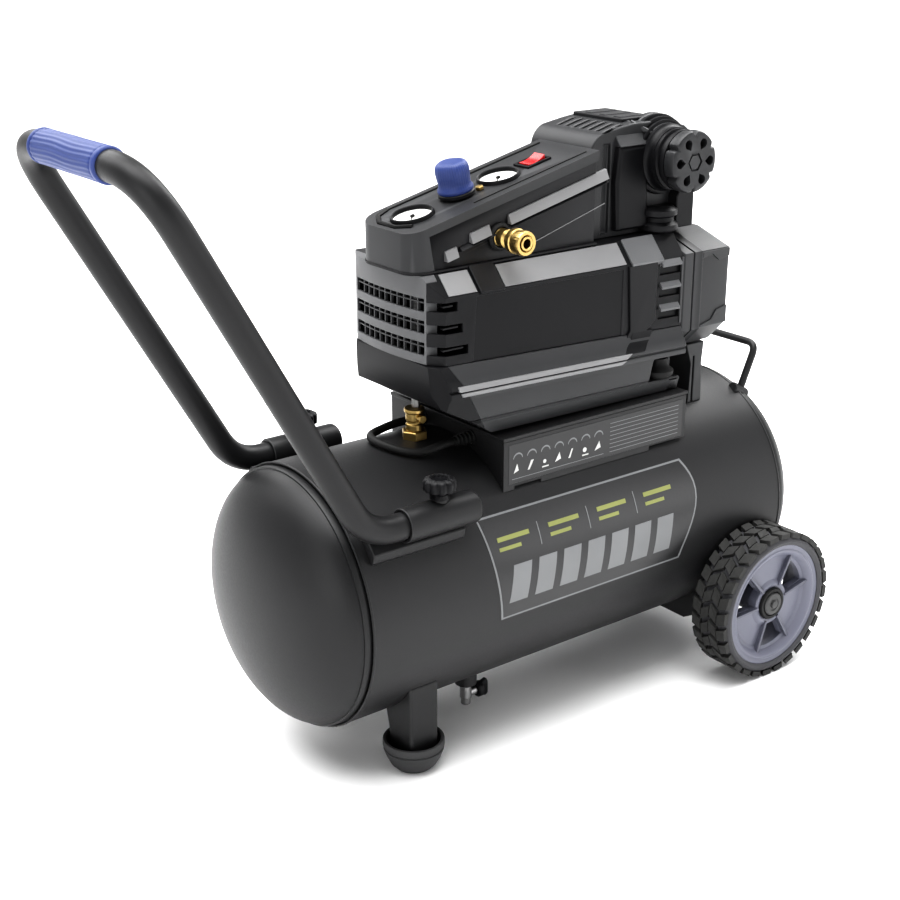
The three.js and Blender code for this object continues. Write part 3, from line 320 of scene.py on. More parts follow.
def surface(
    name, slot, colour, roughness, metallic=0.0, mottle=0.1, grain=1500, relief=0.04, wear=0.0,
    coat=0.0, gloss=0.5, stretch=(1, 1, 1),
):
    """A material that varies: broad mottling of the colour, a fine grain and worn edges."""
    material = bpy.data.materials.new(name)
    material["slot"] = slot
    material.use_nodes = True
    nodes = material.node_tree.nodes
    links = material.node_tree.links
    shader = nodes["Principled BSDF"]
    shader.inputs["Metallic"].default_value = metallic
    shader.inputs["Specular IOR Level"].default_value = gloss
    shader.inputs["Coat Weight"].default_value = coat
    shader.inputs["Coat Roughness"].default_value = 0.25
    coordinates = nodes.new("ShaderNodeTexCoord")
    mapping = nodes.new("ShaderNodeMapping")
    mapping.inputs["Scale"].default_value = stretch
    links.new(coordinates.outputs["Object"], mapping.inputs["Vector"])

    def blend(low, high, factor):
        """A node that goes from one colour to another; low may be None, to be linked."""
        node = nodes.new("ShaderNodeMix")
        node.data_type = "RGBA"
        if low:
            node.inputs["A"].default_value = (*[min(1, c) for c in low], 1)
        node.inputs["B"].default_value = (*[min(1, c) for c in high], 1)
        links.new(factor, node.inputs["Factor"])
        return node

    def noise(scale, detail):
        node = nodes.new("ShaderNodeTexNoise")
        node.inputs["Scale"].default_value = scale
        node.inputs["Detail"].default_value = detail
        links.new(mapping.outputs["Vector"], node.inputs["Vector"])
        return node.outputs["Fac"]

    broad = noise(22, 3)
    fine = noise(grain, 4)
    darker = [c * (1 - mottle) for c in colour]
    lighter = [c * (1 + mottle) for c in colour]
    colour_out = blend(darker, lighter, broad).outputs["Result"]
    if wear:
        edges = nodes.new("ShaderNodeNewGeometry")
        sharp = nodes.new("ShaderNodeMapRange")
        sharp.inputs["From Min"].default_value = 0.52
        sharp.inputs["From Max"].default_value = 0.64
        sharp.inputs["To Max"].default_value = wear
        links.new(edges.outputs["Pointiness"], sharp.inputs["Value"])
        worn = blend(None, [c * 2.6 + 0.05 for c in colour], sharp.outputs["Result"])
        links.new(colour_out, worn.inputs["A"])
        colour_out = worn.outputs["Result"]
    links.new(colour_out, shader.inputs["Base Color"])
    shine = nodes.new("ShaderNodeMapRange")
    shine.inputs["To Min"].default_value = max(0.03, roughness - 0.07)
    shine.inputs["To Max"].default_value = min(1, roughness + 0.07)
    links.new(fine, shine.inputs["Value"])
    links.new(shine.outputs["Result"], shader.inputs["Roughness"])
    bump = nodes.new("ShaderNodeBump")
    bump.inputs["Strength"].default_value = 0.35
    bump.inputs["Distance"].default_value = relief * MM
    links.new(fine, bump.inputs["Height"])
    links.new(bump.outputs["Normal"], shader.inputs["Normal"])
    return material


BLACK_PAINT = surface(
    "black_powder_coat", "black_paint", (0.0125, 0.0125, 0.0132), 0.45,
    grain=520, relief=0.12, gloss=0.36, wear=0.25,
)
# Black plastic; on the lower housing's nose it is painted shade.
BLACK_PLASTIC_AND_PAINTED_SHADE = surface(
    "black_plastic_and_painted_shade", "black_plastic", (0.006, 0.006, 0.007), 0.4,
    relief=0.08, gloss=0.2, wear=0.35,
)
GREY_PLASTIC = surface(
    "charcoal_moulded_plastic", "grey_plastic", (0.026, 0.0265, 0.028), 0.44,
    relief=0.1, gloss=0.35, wear=0.35,
)
# Mid grey: the cowl's own colour; on the side bands' upward shoulders it is a painted highlight.
COWL_GREY_AND_PAINTED_HIGHLIGHT = surface(
    "mid_grey_plastic_and_painted_highlight", "grey_plastic", (0.08, 0.081, 0.084), 0.46, relief=0.1, wear=0.25
)
# Light grey: silver trim on the console and the side stripes; on the housing's shoulder facets it
# is a painted highlight.
SILVER_TRIM_AND_PAINTED_HIGHLIGHT = surface(
    "silver_trim_and_painted_highlight", "grey_plastic", (0.185, 0.185, 0.188), 0.42, mottle=0.08, relief=0.05
)
BLUE_PLASTIC = surface(
    "blue_moulded_plastic", "blue_plastic", (0.017, 0.036, 0.145), 0.5, relief=0.15, wear=0.2
)
RED_PLASTIC = surface(
    "red_rocker_plastic", "red_plastic", (0.52, 0.006, 0.009), 0.28,
    mottle=0.05, relief=0.02, coat=0.2,
)
RIM_PLASTIC = surface(
    "lavender_grey_rim_plastic", "rim_plastic", (0.066, 0.068, 0.088), 0.45, relief=0.1, wear=0.5
)
RUBBER = surface(
    "black_rubber", "rubber", (0.012, 0.012, 0.012), 0.6,
    mottle=0.15, grain=700, relief=0.15, gloss=0.3,
)
FOOT_RUBBER = surface(
    "grey_rubber", "rubber", (0.045, 0.045, 0.046), 0.6,
    mottle=0.15, grain=700, relief=0.15, gloss=0.3, wear=0.2,
)
TYRE_RUBBER = surface(
    "tyre_rubber", "tyre", (0.006, 0.006, 0.0055), 0.62,
    mottle=0.25, grain=420, relief=0.35, gloss=0.22, wear=0.6,
)
SIDEWALL = surface(
    "tyre_sidewall", "tyre", (0.042, 0.042, 0.046), 0.65,
    mottle=0.2, grain=420, relief=0.25, wear=0.2,
)
BRASS = surface(
    "turned_brass", "brass", (0.47, 0.345, 0.145), 0.34, metallic=1.0, mottle=0.12, relief=0.05,
    stretch=(1, 12, 1),
)
STEEL = surface(
    "zinc_plated_steel", "steel", (0.32, 0.32, 0.32), 0.36,
    metallic=1.0, relief=0.05, stretch=(1, 1, 6),
)
ALUMINIUM = surface(
    "cast_aluminium", "aluminium", (0.3, 0.3, 0.3), 0.5, metallic=1.0, grain=600, relief=0.2
)
IRON = surface("laminated_iron", "iron", (0.1, 0.1, 0.1), 0.6, metallic=0.8, stretch=(30, 1, 1))
DIAL_WHITE = surface(
    "gauge_dial", "gauge_white", (0.82, 0.82, 0.8), 0.3, mottle=0.02, relief=0.01, coat=0.6
)
DIAL_INK = surface("dial_ink", "black_plastic", (0.006, 0.006, 0.006), 0.5, relief=0.01, gloss=0.2)
DECAL_FIELD = surface(
    "decal_field", "black_paint", (0.012, 0.012, 0.013), 0.3, mottle=0.15, relief=0.02, coat=0.15
)
DECAL_LINE = surface(
    "decal_light_grey", "grey_plastic", (0.16, 0.164, 0.168), 0.4, mottle=0.1, relief=0.02
)
DECAL_GREEN = surface(
    "decal_pale_green", "grey_plastic", (0.2, 0.215, 0.07), 0.4, mottle=0.1, relief=0.02
)
LABEL_FIELD = surface(
    "label_field", "grey_plastic", (0.02, 0.02, 0.021), 0.4, mottle=0.12, relief=0.02
)
LABEL_WHITE = surface(
    "label_white", "gauge_white", (0.5, 0.5, 0.49), 0.45, mottle=0.05, relief=0.02
)


def paint_node(node, material):
    """Gives a CAD node that stays in sight a better material."""
    for mesh_slot in frame["nodes"][node].material_slots:
        mesh_slot.material = material


# ---- motor lead looped on the tank

LEAD_RADIUS = 4
LEAD_LOOP = (  # how far behind the reliefs, then Y and Z
    (18.7, -41.5, 294.6), (28.7, -39.5, 292.6), (38.2, -35.5, 292), (46.7, -29, 293.2),
    (53.2, -20, 295.1), (57.2, -9.5, 296.4), (57.7, 1.5, 296.8), (54.7, 12.5, 296.4),
    (48.7, 22, 295), (40.2, 29, 294), (30.7, 32.5, 294), (20.7, 33.8, 295),
)


def motor_lead():
    front_tip = middle("lead_relief_front")
    rear_tip = middle("lead_relief_rear")
    left = span("lead_relief_front")[0].x - 0.3
    route = [(left, front_tip.y, front_tip.z), (left - 8.7, front_tip.y, front_tip.z)]
    route += [(left - back, y, z) for back, y, z in LEAD_LOOP]
    route += [(left - 9.7, rear_tip.y, rear_tip.z), (left, rear_tip.y, rear_tip.z)]
    path = smooth_path(route)
    shape = Shape().tube(path, LEAD_RADIUS, 16)
    lead = piece("rubber_motor_lead", shape, RUBBER, replaces=["motor_lead"])


def strain_reliefs():
    for end, _ in ENDS:
        node = "lead_relief_" + end
        low, high = span(node)
        face = high.x - 4.3
        profile = [(5, high.x), (5, face), (7.5, face)]
        for i in range(5):
            wide = 7.5 - i * 0.5
            start = face - 1 - i * 4.2
            profile += [(wide, start), (wide - 1.3, start - 0.8), (wide - 1.3, start - 2.4)]
        profile.append((4.3, low.x))
        shape = Shape().turned(profile, "x", axis_of(node, "x"), 24)
        piece("ribbed_relief_" + end, shape, RUBBER, replaces=[node])


motor_lead()
strain_reliefs()

# ---- tank

tank_low, tank_high = span("tank_shell")
TANK_Y = (tank_low.y + tank_high.y) / 2
TANK_Z = (tank_low.z + tank_high.z) / 2
TANK_RADIUS = (tank_high.z - tank_low.z) / 2


def tank_barrel():
    profile = [
        (TANK_RADIUS - 2.6, tank_low.x),
        (TANK_RADIUS - 0.7, tank_low.x),
        (TANK_RADIUS, tank_low.x + 0.7),
        (TANK_RADIUS, tank_high.x - 0.7),
        (TANK_RADIUS - 0.7, tank_high.x),
        (TANK_RADIUS - 2.6, tank_high.x),
    ]
    shape = Shape().turned(profile, "x", (0, TANK_Y, TANK_Z), 144, closed=True)
    piece("tank_barrel", shape, BLACK_PAINT, replaces=["tank_shell"])


def dished_head(end, side, seam):
    """A head with a short raised flange next to the seam, then a flattened half ellipsoid."""
    low, high = span("tank_head_" + end)
    depth = abs((high.x if side > 0 else low.x) - seam)
    radius = (high.z - low.z) / 2
    flange = 9
    profile = [(radius, seam - side * 20), (radius, seam + side), (radius + 0.6, seam + side * 2)]
    profile += [(radius + 0.6, seam + side * (flange - 1)), (radius, seam + side * flange)]
    steps = 26
    start = math.asin(flange / depth)
    for i in range(steps + 1):
        angle = start + (math.pi / 2 - start) * i / steps
        profile.append((max(2, radius * math.cos(angle)), seam + side * depth * math.sin(angle)))
    shape = Shape().turned(profile, "x", (0, TANK_Y, TANK_Z), 144)
    piece("dished_head_" + end, shape, BLACK_PAINT, replaces=["tank_head_" + end])


def weld_bead(end, seam):
    """A rippled bead round the seam."""
    circle = arc((TANK_Y, TANK_Z), TANK_RADIUS - 0.6, 0, 360, 240)
    path = [(seam, y, z) for y, z in circle]
    radii = [1.2 + 0.2 * (i % 2) for i in range(len(path))]
    piece("weld_bead_" + end, Shape().tube(path, radii, 8), BLACK_PAINT)


tank_barrel()
for end, side, seam in (("left", -1, tank_low.x), ("right", 1, tank_high.x)):
    dished_head(end, side, seam)
    weld_bead(end, seam + side * 0.4)

# ---- decal on the tank's front

DECAL_LEFT = middle("tank_shell").x - 132
DECAL_RIGHT = middle("tank_shell").x + 132
DECAL_TOP_ANGLE = 37
DECAL_LOW_ANGLE = -9


def tank_patch(left, right, low_angle, high_angle, lift, steps=12):
    """A thin plate on the tank's front; left and right give X for a share t of its height."""
    rings = []
    for i in range(steps + 1):
        t = i / steps
        angle = math.radians(low_angle + (high_angle - low_angle) * t)
        ring = []
        for x, r in ((left(t), -1), (right(t), -1), (right(t), lift), (left(t), lift)):
            reach = TANK_RADIUS + r
            y = TANK_Y - reach * math.cos(angle)
            ring.append((x, y, TANK_Z + reach * math.sin(angle)))
        rings.append(ring)
    return Shape().loft(rings)


def decal():
    def edge(inset):
        """The left edge leans; the right one swells outwards near the top."""
        return (
            lambda t: DECAL_LEFT + 13 * (1 - t) + inset,
            lambda t: DECAL_RIGHT - 18 * (1 - t) + 16 * math.sin(math.pi * t**1.4) - inset,
        )

    border = 2.1
    inset_angle = math.degrees(border / TANK_RADIUS)
    outer = tank_patch(*edge(0), DECAL_LOW_ANGLE, DECAL_TOP_ANGLE, 0.25)
    piece("decal_outline", outer, DECAL_LINE)
    inner = tank_patch(
        *edge(border), DECAL_LOW_ANGLE + inset_angle, DECAL_TOP_ANGLE - inset_angle, 0.4
    )
    piece("decal_panel", inner, DECAL_FIELD)

    bars = Shape()
    for i in range(7):
        start = DECAL_LEFT + 21 + i * 31
        bars.joined(
            tank_patch(lambda t: start + 8 * t, lambda t: start + 22 + 8 * t, -2, 14, 0.6, 6)
        )
    piece("decal_slanted_bars", bars, DECAL_LINE)

    dashes = Shape()
    rules = Shape()
    for i in range(4):
        start = DECAL_LEFT + 16 + i * 62
        dashes.joined(tank_patch(lambda t: start, lambda t: start + 38, 25, 27, 0.6, 2))
        dashes.joined(tank_patch(lambda t: start, lambda t: start + 26, 21, 22.6, 0.6, 2))
        if i:
            rules.joined(tank_patch(lambda t: start - 13, lambda t: start - 12, 19, 29, 0.6, 3))
    piece("decal_green_dashes", dashes, DECAL_GREEN)
    piece("decal_rules", rules, DECAL_LINE)


decal()

# ---- legs and feet


def leg_and_foot(end, side):
    low, high = span("leg_" + end)
    flare = 14
    outer, inner = (low.y, high.y) if side < 0 else (high.y, low.y)
    rings = []
    for z, spread in ((low.z, 0), (low.z + 25, 1), (high.z - 14, flare - 3), (high.z, flare)):
        y = inner - side * spread
        rings.append([(low.x, outer, z), (high.x, outer, z), (high.x, y, z), (low.x, y, z)])
    post = Shape().loft(rings)
    piece("leg_post_" + end, post, BLACK_PAINT, bevel=3, segments=3, replaces=["leg_" + end])
    profile = [(15, 0), (18.5, 0.8), (22.5, 5), (26.2, 12), (28.8, 19), (29, 20.5), (28.2, 21.4)]
    profile += [(28.4, 22.4), (29.5, 23.4), (29.5, 28.6), (28.8, 29.7), (26.8, 30), (25.6, 29)]
    profile += [(25.2, 15)]
    shape = Shape().turned(profile, "z", axis_of("foot_" + end, "z"), 64)
    piece("rubber_foot_" + end, shape, FOOT_RUBBER, replaces=["foot_" + end])


for end, side in ENDS:
    leg_and_foot(end, side)

# ---- wheels

WHEEL_RADIUS = 80
TREAD_BASE = 76
TREAD_PITCHES = 28
HUB_FACE = 166  # how far out the hub's face stands


def out_from_middle(node):
    """How far a node's near and far faces stand from the middle plane."""
    return sorted(abs(corner.y) for corner in span(node))


def ring_block(shape, centre, side, angles, ys, radii):
    """One tread block between two angles, two distances out and two radii, narrower on top."""
    rings = []
    for radius, shrink in ((radii[0], 0), (radii[1], 0.012)):
        ring = []
        for angle, y in (
            (angles[0] + shrink, ys[0]), (angles[1] - shrink, ys[0]),
            (angles[3] - shrink, ys[1]), (angles[2] + shrink, ys[1]),
        ):
            x = centre.x + radius * math.cos(angle)
            ring.append((x, side * y, centre.z + radius * math.sin(angle)))
        rings.append(ring)
    shape.loft(rings)


def tyre(end, side):
    centre = axis_of("tyre_" + end, "y")
    near, far = out_from_middle("tyre_" + end)
    profile = [
        (66.3, near + 3), (70, near + 0.6), (TREAD_BASE - 3, near + 1.4), (TREAD_BASE, near + 5),
        (TREAD_BASE, far - 5), (TREAD_BASE - 3, far - 1.4), (70, far - 0.2), (66.3, far - 2),
    ]
    body = "wheel_" + end
    casing = Shape().turned(outwards(profile, side), "y", centre, 112, closed=True)
    piece("tyre_casing_" + end, casing, SIDEWALL, body, replaces=["tyre_" + end])
    blocks = Shape()
    pitch = FULL_TURN / TREAD_PITCHES
    rows = [(near + 0.8, near + 11.5), (near + 12.5, near + 22.5), (near + 23.5, near + 33.5),
            (near + 34.5, far - 0.8)]
    for row, ys in enumerate(rows):
        skew = (0.25, -0.35, 0.35, -0.25)[row] * pitch
        for i in range(TREAD_PITCHES):
            start = (i + 0.5 * (row % 2)) * pitch
            end_angle = start + 0.78 * pitch
            angles = (start, end_angle, start + skew, end_angle + skew)
            ring_block(blocks, centre, side, angles, ys, (TREAD_BASE - 1.5, WHEEL_RADIUS - 0.1))
    piece("tyre_tread_" + end, blocks, TYRE_RUBBER, body)


def rim(end, side):
    centre = axis_of("rim_" + end, "y")
    near, far = out_from_middle("rim_" + end)
    web = far - 8
    profile = [
        (6.5, near), (16, near), (18, web - 8), (52, web - 8), (58, near + 10), (66, near + 10),
        (66, far), (65.2, far - 0.6), (61.5, far - 0.6), (60.4, far), (58.6, far),
        (56.5, far - 1.5), (53, web + 1), (49, web - 1), (26, web), (22.5, web + 2.6),
        (21, web + 3), (18.4, web + 2.2), (17.8, HUB_FACE), (6.5, HUB_FACE),
    ]
    disc = Shape().turned(outwards(profile, side), "y", centre, 96, closed=True)
    hub = (centre.x, centre.z)
    rib = [(20, -1.6), (57, -1.6), (57, 1.6), (20, 1.6)]
    cuts = Shape()
    ribs = Shape()
    for i in range(3):
        window = 37 + 120 * i
        outline = arc(hub, 50, window - 22, window + 22, 6)
        outline += arc(hub, 23.5, window + 22, window - 22, 4)
        cuts.prism(outline, "y", side * 120, side * 180)
        for edge in (window - 25, window + 25):
            outline = turned_outline(rib, hub, math.radians(edge))
            ribs.prism(outline, "y", side * (web - 6), side * (far - 3.6))
    mesh = carved(disc, cuts)
    body = "wheel_" + end
    piece("rim_ribs_" + end, ribs, RIM_PLASTIC, body, bevel=0.8)
    piece("moulded_rim_" + end, mesh, RIM_PLASTIC, body, bevel=1,
          replaces=["rim_" + end], smooth=30)
    collar = [(12.9, 0.2), (17.5, 0.2), (17.5, 2), (16.5, 3.4), (13.6, 3.4), (12.9, 2.4)]
    collar = [(radius, HUB_FACE + y) for radius, y in collar]
    shape = Shape().turned(outwards(collar, side), "y", centre, 48, closed=True)
    piece("hub_washer_" + end, shape, RUBBER, body)


def axle_bolt(end, side):
    profile = [(6, -62), (6, 0.3), (12.4, 0.3), (12.4, 3.6), (11.4, 4.8), (7, 5.2)]
    profile += [(6.4, 4.4), (4.4, 4.4), (4, 6.6), (1.5, 7)]
    profile = [(radius, HUB_FACE + y) for radius, y in profile]
    shape = Shape().turned(outwards(profile, side), "y", axis_of("axle_bolt_" + end, "y"), 48)
    piece("shoulder_bolt_" + end, shape, IRON, replaces=["axle_bolt_" + end])


for end, side in ENDS:
    tyre(end, side)
    rim(end, side)
    axle_bolt(end, side)
paint_node("axle_bracket", BLACK_PAINT)

# ---- lifting bail


def lift_bail():
    low, high = span("lift_bail")
    rod = 4
    foot_x = low.x + 10
    foot_z = TANK_Z + 112
    half = (high.y - low.y) / 2 - 8
    corners = [(foot_x - 3, -half, foot_z - 6), (foot_x, -half, foot_z)]
    corners.append((high.x - rod, -half, high.z - rod))
    path = rounded_path(corners + [(x, -y, z) for x, y, z in reversed(corners)], 12)
    piece("bail_rod", Shape().tube(path, rod, 16), BLACK_PAINT, replaces=["lift_bail"])
    pads = Shape()
    for side in (-1, 1):
        y = side * half
        pads.tube([(foot_x - 13, y, foot_z + 4), (foot_x + 7, y, foot_z - 7)], 6.5, 16)
    piece("bail_welded_feet", pads, BLACK_PAINT, bevel=1.5)


lift_bail()

# ---- handle

TUBE_RADIUS = 12.5
handle_low, handle_high = span("handle_frame")
HANDLE_Z = handle_low.z + TUBE_RADIUS
HANDLE_Y = abs(middle("clamp_knob_front").y)


def handle_tube():
    top = middle("handle_grip")
    bend_x = span("handle_sleeve_front")[0].x - 38
    corners = [(handle_high.x, -HANDLE_Y, HANDLE_Z), (bend_x, -HANDLE_Y, HANDLE_Z)]
    corners.append((top.x, -HANDLE_Y, top.z))
    path = rounded_path(corners + [(x, -y, z) for x, y, z in reversed(corners)], 52, 16)
    shape = Shape().tube(path, TUBE_RADIUS, 32)
    piece("bent_handle_tube", shape, BLACK_PAINT, "handle", replaces=["handle_frame"])


def grip():
    """A grip with ribs along it between two smooth collars."""
    low, high = span("handle_grip")
    radius = (high.z - low.z) / 2 - 0.9
    collar = 6

    def ribs(angle, y):
        if abs(y) > high.y - collar:
            return 1
        return 1 - 0.032 * (0.5 + 0.5 * math.cos(22 * angle + 0.9 * math.sin(y / 11)))

    profile = [(radius - 2.2, low.y), (radius - 0.4, low.y + 0.6), (radius, low.y + 2)]
    profile += [(radius, low.y + collar - 0.8), (radius * 0.94, low.y + collar)]
    steps = 34
    for i in range(steps + 1):
        y = low.y + collar + 1.2 + (high.y - low.y - 2 * collar - 2.4) * i / steps
        profile.append((radius - 0.1, y))
    profile += [(radius * 0.94, high.y - collar), (radius, high.y - collar + 0.8)]
    profile += [(radius, high.y - 2), (radius - 0.4, high.y - 0.6), (radius - 2.2, high.y)]
    shape = Shape().turned(profile, "y", axis_of("handle_grip", "y"), 176, wave=ribs)
    piece("ribbed_grip", shape, BLUE_PLASTIC, "handle", replaces=["handle_grip"], smooth=60)


def handle_sleeve(end, side):
    node = "handle_sleeve_" + end
    low, high = span(node)
    y = side * HANDLE_Y
    radius = 15.7
    profile = [(13.1, low.x + 12), (13.1, low.x), (radius - 0.6, low.x), (radius, low.x + 0.6)]
    for i in range(7):
        angle = math.radians(90 * i / 6)
        profile.append((radius - 5 + 5 * math.cos(angle), high.x - 5 + 5 * math.sin(angle)))
    shape = Shape().turned(profile, "x", (0, y, HANDLE_Z), 48)
    knob = middle("clamp_knob_" + end)
    shape.turned([(8, HANDLE_Z), (8, HANDLE_Z + radius + 0.8)], "z", (knob.x, y, 0), 32)
    piece("clamp_sleeve_" + end, shape, BLACK_PAINT, bevel=0.5, replaces=[node])
    tilt = math.atan2(side * HANDLE_Y, HANDLE_Z - TANK_Z)
    inner = TANK_RADIUS - 4
    outer = math.hypot(HANDLE_Y, HANDLE_Z - TANK_Z) - TUBE_RADIUS - 1
    outline = [(-12, inner), (21, inner), (21, inner + 5), (16, outer), (-12, outer)]
    outline = [(side * y, z) for y, z in outline]
    saddle = Shape().prism(outline, "x", low.x - 30, high.x - 9)
    saddle.moved(Matrix.Translation((0, TANK_Y, TANK_Z)) @ Matrix.Rotation(-tilt, 4, "X"))
    piece("clamp_saddle_" + end, saddle, BLACK_PAINT, bevel=1.5)


def clamp_knob(end):
    """A fluted knob with a dished top."""
    node = "clamp_knob_" + end
    low, high = span(node)
    radius = (high.y - low.y) / 2
    foot = high.z - 19

    def flutes(angle, z):
        if z < foot + 6:
            return 1
        return 1 - 0.1 * (0.5 + 0.5 * math.cos(11 * angle)) ** 2

    profile = [(3.2, low.z), (3.2, foot), (9, foot), (9, foot + 4), (radius - 2, foot + 6.5)]
    profile += [(radius + 0.8, foot + 8), (radius + 1, foot + 10), (radius + 1, high.z - 4)]
    profile += [(radius, high.z - 2), (radius - 3, high.z - 0.6), (radius - 5, high.z)]
    profile += [(radius - 6, high.z - 1), (radius - 6.6, high.z - 2.2), (2, high.z - 2.4)]
    shape = Shape().turned(profile, "z", axis_of(node, "z"), 96, wave=flutes)
    piece("fluted_knob_" + end, shape, BLACK_PLASTIC_AND_PAINTED_SHADE, "clamp_" + end, replaces=[node], smooth=50)


handle_tube()
grip()
for end, side in ENDS:
    handle_sleeve(end, side)
    clamp_knob(end)

# ---- drain valve


def drain_valve():
    body = middle("drain_valve_body")
    low, high = span("drain_valve_body")
    stem = middle("drain_knob")
    profile = [(3, low.z + 7), (3, low.z), (4.6, low.z), (5, low.z + 1), (5, low.z + 6)]
    profile += [(6, low.z + 7), (6, 36), (5, 37), (5, 42)]
    x = low.x + 11
    boss = Shape().turned([(9, 38), (11, 39.5), (11, 52)], "z", (x, body.y, 0), 32)
    piece("drain_boss", boss, BLACK_PAINT)
    shape = Shape().turned(profile, "z", (x, body.y, 0), 32)
    shape.turned([(4.5, x), (4.5, x + 12)], "x", (0, body.y, stem.z), 24)
    piece("drain_body", shape, STEEL, bevel=0.4, replaces=["drain_valve_body"])
    low, high = span("drain_knob")
    shape = Shape().turned(
        [(6.5, low.x), (8, low.x + 1.5), (8, low.x + 6), (6, low.x + 7)],
        "x", (0, stem.y, stem.z), 32,
    )
    half = (high.z - low.z) / 2
    wing = arc((0, half - 3.5), 3.5, 0, 180, 8) + arc((0, 3.5 - half), 3.5, 180, 360, 8)
    rings = []
    for x, wide in ((low.x + 2, 0.72), (low.x + 6, 0.8), (high.x - 2, 1), (high.x, 0.85)):
        rings.append([(x, stem.y + a * 0.8, stem.z + b * wide) for a, b in wing])
    shape.loft(rings)
    piece("wing_knob", shape, BLACK_PLASTIC_AND_PAINTED_SHADE, "drain", replaces=["drain_knob"])


drain_valve()

# ---- pump bracket, label, stay

bracket_low, bracket_high = span("pump_bracket")
TRAY_TOP = 304
FACE_REACH = 3  # how far the front face stands out from the tray
NEAR_TANK = 0.4  # gap between the tank and what is bent to it
BELOW = 240  # lower than the tray reaches


def tank_bar():
    """A bar a little wider than the tank, to cut its bed out of what stands on it."""
    radius = TANK_RADIUS + NEAR_TANK
    ends = [(radius, tank_low.x - 10), (radius, tank_high.x + 10)]
    return Shape().turned(ends, "x", (0, TANK_Y, TANK_Z), 144)


def pump_bracket():
    low, high = bracket_low, bracket_high
    block = Shape().brick((low.x, low.y, low.z - 20), (high.x, high.y, TRAY_TOP))
    notches = Shape()
    for y in (low.y, high.y):
        notches.brick((high.x - 48, y - 5, BELOW), (high.x + 5, y + 5, 264))
        notches.brick((low.x + 12, y - 5, BELOW), (low.x + 40, y + 5, 259))
    mesh = carved(carved(block, tank_bar()), notches)
    piece("pump_bracket_tray", mesh, BLACK_PAINT, bevel=1.6, segments=3, replaces=["pump_bracket"])
    front = low.y - FACE_REACH
    drop = math.sqrt(TANK_RADIUS**2 - front**2) + TANK_Z
    face = Shape().brick((low.x, front, drop + 0.6), (high.x, low.y, TRAY_TOP))
    notches = Shape().brick((high.x - 50, low.y - 5, BELOW), (high.x + 5, low.y + 5, drop + 5))
    notches.brick((low.x + 14, low.y - 5, BELOW), (low.x + 46, low.y + 5, drop + 4))
    piece("pump_bracket_face", carved(face, notches), BLACK_PAINT, bevel=0.8)
    lip = Shape().brick(
        (low.x - 1, front - 1, TRAY_TOP + 0.2), (high.x + 1, high.y + 1, TRAY_TOP + 3.8)
    )
    piece("pump_bracket_lip", lip, BLACK_PAINT, bevel=0.8)


def bracket_label():
    """A dark label with plain pictograms on the left and fine rules on the right."""
    face = bracket_low.y - FACE_REACH
    left = bracket_low.x + 6
    right = bracket_high.x - 5
    low, high = 261, 300
    plate = Shape().brick((left, face - 0.3, low), (right, face + 0.5, high))
    piece("label_plate", plate, LABEL_FIELD, bevel=0.2, segments=1)
    marks = Shape()
    rings = Shape()
    for i in range(7):
        x = left + 6 + i * 17
        z = 271
        wide = 6 + 2 * math.sin(2.4 * i)
        if i % 3 == 0:
            marks.prism([(x, z), (x + wide, z + 2), (x + wide - 2, z + 9)], "y", face - 0.5, face)
        elif i % 3 == 1:
            slash = [(x, z), (x + 2.4, z), (x + wide, z + 9), (x + 4, z + 9)]
            marks.prism(slash, "y", face - 0.5, face)
        else:
            marks.prism(arc((x + 4, z + 4), wide / 2, 0, 330, 11), "y", face - 0.5, face)
            marks.brick((x + 1, face - 0.5, z - 2), (x + 9, face, z - 0.6))
        hump = arc((x + 5, z + 14), 6, 10, 170, 8) + arc((x + 5, z + 13), 5.4, 170, 10, 8)
        rings.prism(hump, "y", face - 0.45, face)
    piece("label_pictograms", marks, LABEL_WHITE)
    for i in range(8):
        z = 265 + i * 4.2
        rings.brick((left + 128, face - 0.45, z), (right - 6, face, z + 0.6))
    rings.brick((left + 4, face - 0.45, 265), (left + 120, face, 265.6))
    piece("label_rules", rings, DECAL_LINE)


def pump_stay():
    low, high = span("pump_stay")
    outline = [(low.x - 2, high.z), (high.x + 2, high.z), (high.x, high.z - 22)]
    outline += [(high.x + 2, low.z), (low.x + 4, low.z), (low.x + 6, high.z - 22)]
    mesh = carved(Shape().prism(outline, "y", low.y, high.y), tank_bar())
    windows = Shape().brick((low.x - 9, -26, 298), (high.x + 9, 26, 326))
    for side in (-1, 1):
        y = side * (high.y - 1)
        windows.brick((low.x + 9, y - 2, 262), (low.x + 11, y + 2, high.z - 14))
    mesh = carved(mesh, windows)
    piece("end_stay", mesh, GREY_PLASTIC, bevel=1, replaces=["pump_stay"])


pump_bracket()
bracket_label()
pump_stay()
for number in range(1, 5):
    paint_node(f"isolator_{number}", RUBBER)

# ---- pump housing

cowl_low, cowl_high = span("fan_cowl")
upper_low, upper_high = span("upper_shroud")
lower_low, lower_high = span("lower_shroud")
HALF_WIDTH = upper_high.y
TOP_Z = upper_high.z
SPLIT_Z = upper_low.z
SHOULDER_Z = TOP_Z - 18
SHOULDER_Y = 63
SKIN = 3
FAN_GAP = 2.5  # room round the fan inside the lower housing
SLOT_PITCH = 20  # between the rows of the grille and the corner slots
LOUVRE_PITCH = 19.5
LOUVRE_LEFT, LOUVRE_RIGHT = 183, 211
SEAM_DROP = 12  # how far the seam runs down towards the wheels
FOOT_DROP = 5  # and the foot of the housing


def upper_section(inset, low):
    """Cross-section of the upper housing."""
    side = HALF_WIDTH - inset
    shoulder = SHOULDER_Y - inset * 0.4
    return [
        (-side, low), (side, low), (side, SHOULDER_Z - inset * 0.4), (shoulder, TOP_Z - inset),
        (-shoulder, TOP_Z - inset), (-side, SHOULDER_Z - inset * 0.4),
    ]


